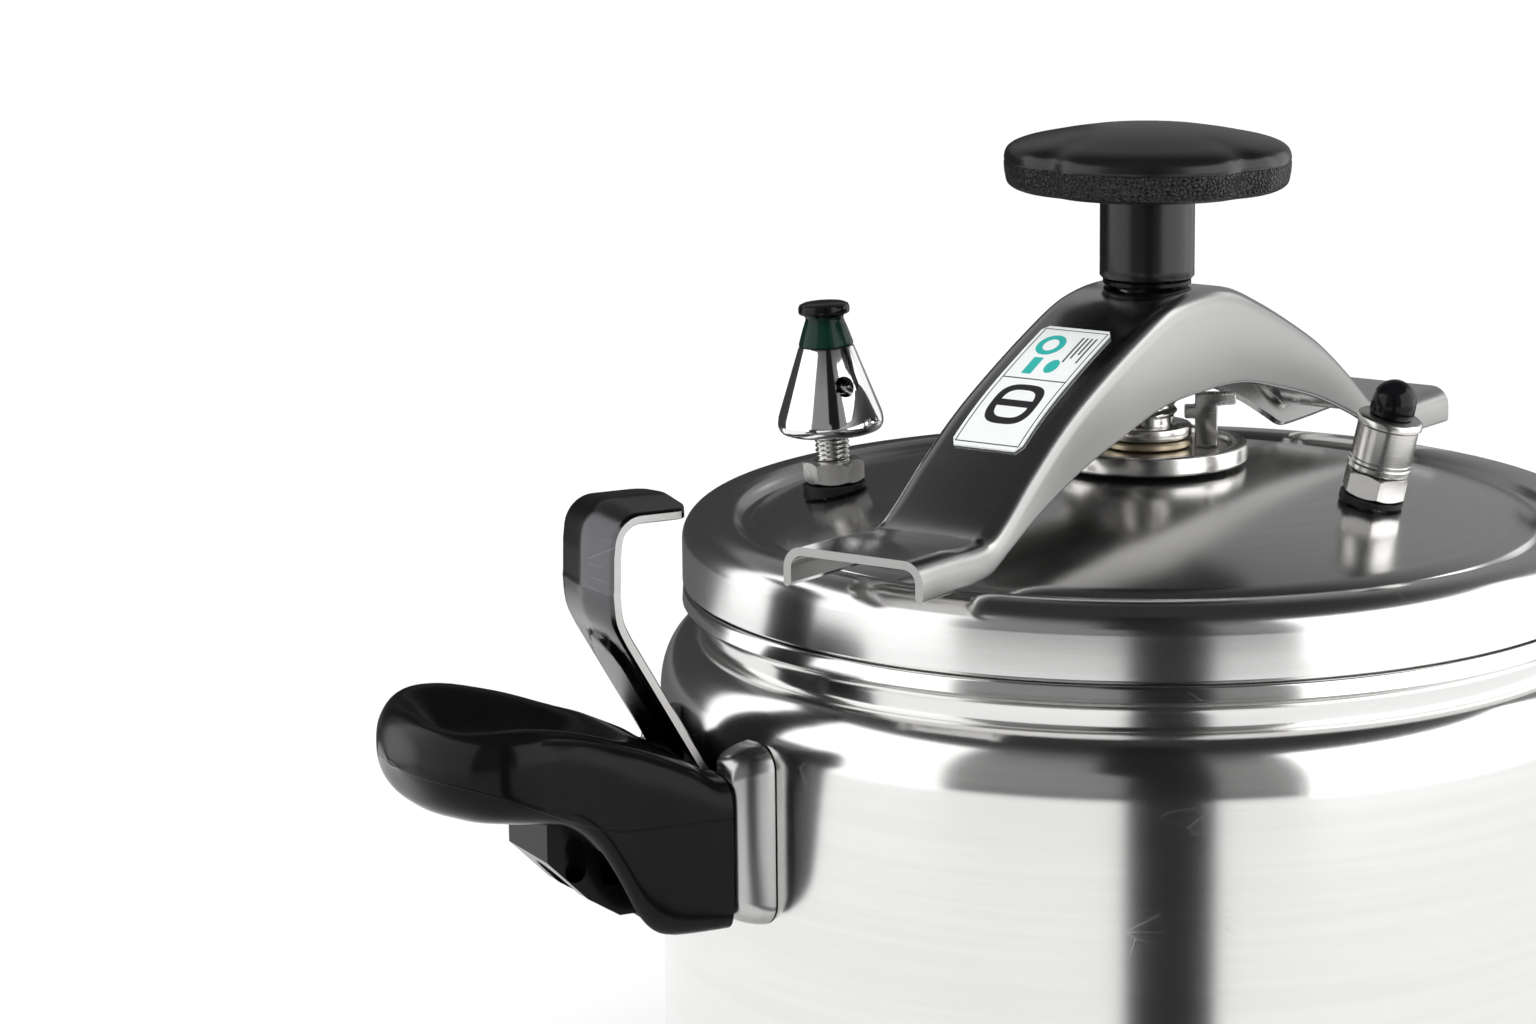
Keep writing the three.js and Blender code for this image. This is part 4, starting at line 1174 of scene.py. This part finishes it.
def studio(toward, right, up):
    """A point given as distances towards the camera, to its right and up, in metres."""
    c, s = math.cos(math.radians(VIEW_ANGLE)), math.sin(math.radians(VIEW_ANGLE))
    return Vector((toward * c - right * s, toward * s + right * c, up))


def bearing_point(radius, bearing, up):
    """A point at a bearing from the camera's side, to the right of it when positive."""
    b = math.radians(bearing)
    return studio(radius * math.cos(b), radius * math.sin(b), up)


def stage_mesh(name, points, faces, look):
    mesh = bpy.data.meshes.new(name)
    mesh.from_pydata(points, [], faces)
    made = bpy.data.objects.new(name, mesh)
    bpy.context.scene.collection.objects.link(made)
    made.data.materials.append(look)
    return made


def card(name, rows, level):
    """A card that only shiny surfaces see, dark or glowing. Each row is a list of points."""
    look = bpy.data.materials.new(name)
    look.use_nodes = True
    look.node_tree.nodes.clear()
    graph = Graph(look.node_tree)
    glow = graph.add("ShaderNodeEmission", {"Color": (1.0, 1.0, 1.0, 1.0), "Strength": level})
    graph.add("ShaderNodeOutputMaterial", {"Surface": glow.outputs[0]})
    count = len(rows[0])
    faces = []
    for i in range(len(rows) - 1):
        for k in range(count - 1):
            faces.append((i * count + k, i * count + k + 1, (i + 1) * count + k + 1, (i + 1) * count + k))
    made = stage_mesh(name, [p for row in rows for p in row], faces, look)
    made.visible_camera = False
    made.visible_diffuse = False
    made.visible_shadow = False
    made.visible_transmission = False


def bow(name, radius, start, end, low, high, level):
    """A curved upright card round the object, between two bearings."""
    bearings = [start + (end - start) * k / 16 for k in range(17)]
    card(name, [[bearing_point(radius, b, z) for b in bearings] for z in (low, high)], level)


GLOSSY_FRONT = [
    (0.135, -0.0055, 0.0205, 0.001), (0.47, -0.030, 0.120, 0.001), (0.47, -0.030, 0.120, 0.26),
    (0.47, -0.08, 0.12, 0.30), (0.47, -0.10, 0.12, 1.2),
]
card("gap_front", [[studio(f, left, up), studio(f, right, up)] for f, left, right, up in GLOSSY_FRONT], 0.012)
bow("softbox_left", 0.85, -43, -116, 0.0, 0.9, 1.6)
bow("softbox_right", 0.85, 35, 120, 0.0, 0.9, 2.2)
bow("dark_left", 0.34, -104, -176, 0.135, 0.34, 0.05)

floor_look, floor_graph, floor_shader, floor_place = surface("floor_white")
pale = floor_graph.mix(floor_graph.noise(floor_place, 3.0), (0.90, 0.90, 0.90), (0.93, 0.93, 0.93))
floor_graph.put(floor_shader.inputs["Base Color"], pale)
floor_shader.inputs["Roughness"].default_value = 0.9
floor_shader.inputs["Specular IOR Level"].default_value = 0.1
BEARINGS = range(-180, 180, 6)
near_edge = [bearing_point(0.4 + 0.6 * (1 - smoothstep(abs(b), 112, 142)), b, 0) for b in BEARINGS]
far_edge = [bearing_point(30, b, 0) for b in BEARINGS]
turns = len(near_edge)
stage_mesh("floor_near", near_edge, [tuple(range(turns))], floor_look)
ring = [(k, (k + 1) % turns, turns + (k + 1) % turns, turns + k) for k in range(turns)]
floor_far = stage_mesh("floor_far", near_edge + far_edge, ring, floor_look)
floor_far.visible_glossy = False

world = bpy.data.worlds.new("studio")
bpy.context.scene.world = world
world.use_nodes = True
sky = Graph(world.node_tree)
direction = sky.add("ShaderNodeTexCoord").outputs["Generated"]
facing = {"Vector": direction, "Angle": -math.radians(VIEW_ANGLE)}
spun = sky.add("ShaderNodeVectorRotate", facing, rotation_type="Z_AXIS")
ahead, rightward, upward = sky.split(spun.outputs["Vector"])
rising = sky.math("MULTIPLY", sky.math("ARCSINE", upward), 180 / math.pi)
bearing = sky.math("MULTIPLY", sky.math("ARCTAN2", rightward, ahead), 180 / math.pi)
level = sky.remap(rising, 24.0, 62.0, 0.26, 0.035)
level = sky.math("MULTIPLY", level, sky.remap(rising, -10.0, 2.0, 0.45, 1.0))
back_right = sky.math("MULTIPLY", sky.band(bearing, 98, 152, 6), sky.band(rising, -30, 24, 6))
level = sky.math("MAXIMUM", level, sky.math("MULTIPLY", back_right, 1.1))
seen = sky.add("ShaderNodeLightPath").outputs["Is Camera Ray"]
level = sky.math("MAXIMUM", level, seen)
world.node_tree.nodes["Background"].inputs["Color"].default_value = (1.0, 1.0, 1.0, 1.0)
sky.put(world.node_tree.nodes["Background"].inputs["Strength"], level)

sun_data = bpy.data.lights.new("overhead", "SUN")
sun_data.energy = 3.3
sun_data.angle = math.radians(70)
sun = bpy.data.objects.new("overhead", sun_data)
sun.rotation_euler = (math.radians(14), math.radians(-10), 0)
sun.visible_glossy = False
bpy.context.scene.collection.objects.link(sun)

camera_data = bpy.data.cameras.new("camera")
camera_data.lens = 104.7
camera_data.sensor_width = 36
camera_data.shift_x = -0.1608
camera = bpy.data.objects.new("camera", camera_data)
camera.location = studio(1.080, 0, 0.4038)
camera.rotation_euler = (math.radians(78.30), 0, math.radians(-29.79))
bpy.context.scene.collection.objects.link(camera)
bpy.context.scene.camera = camera
bpy.context.scene.view_settings.view_transform = "Standard"
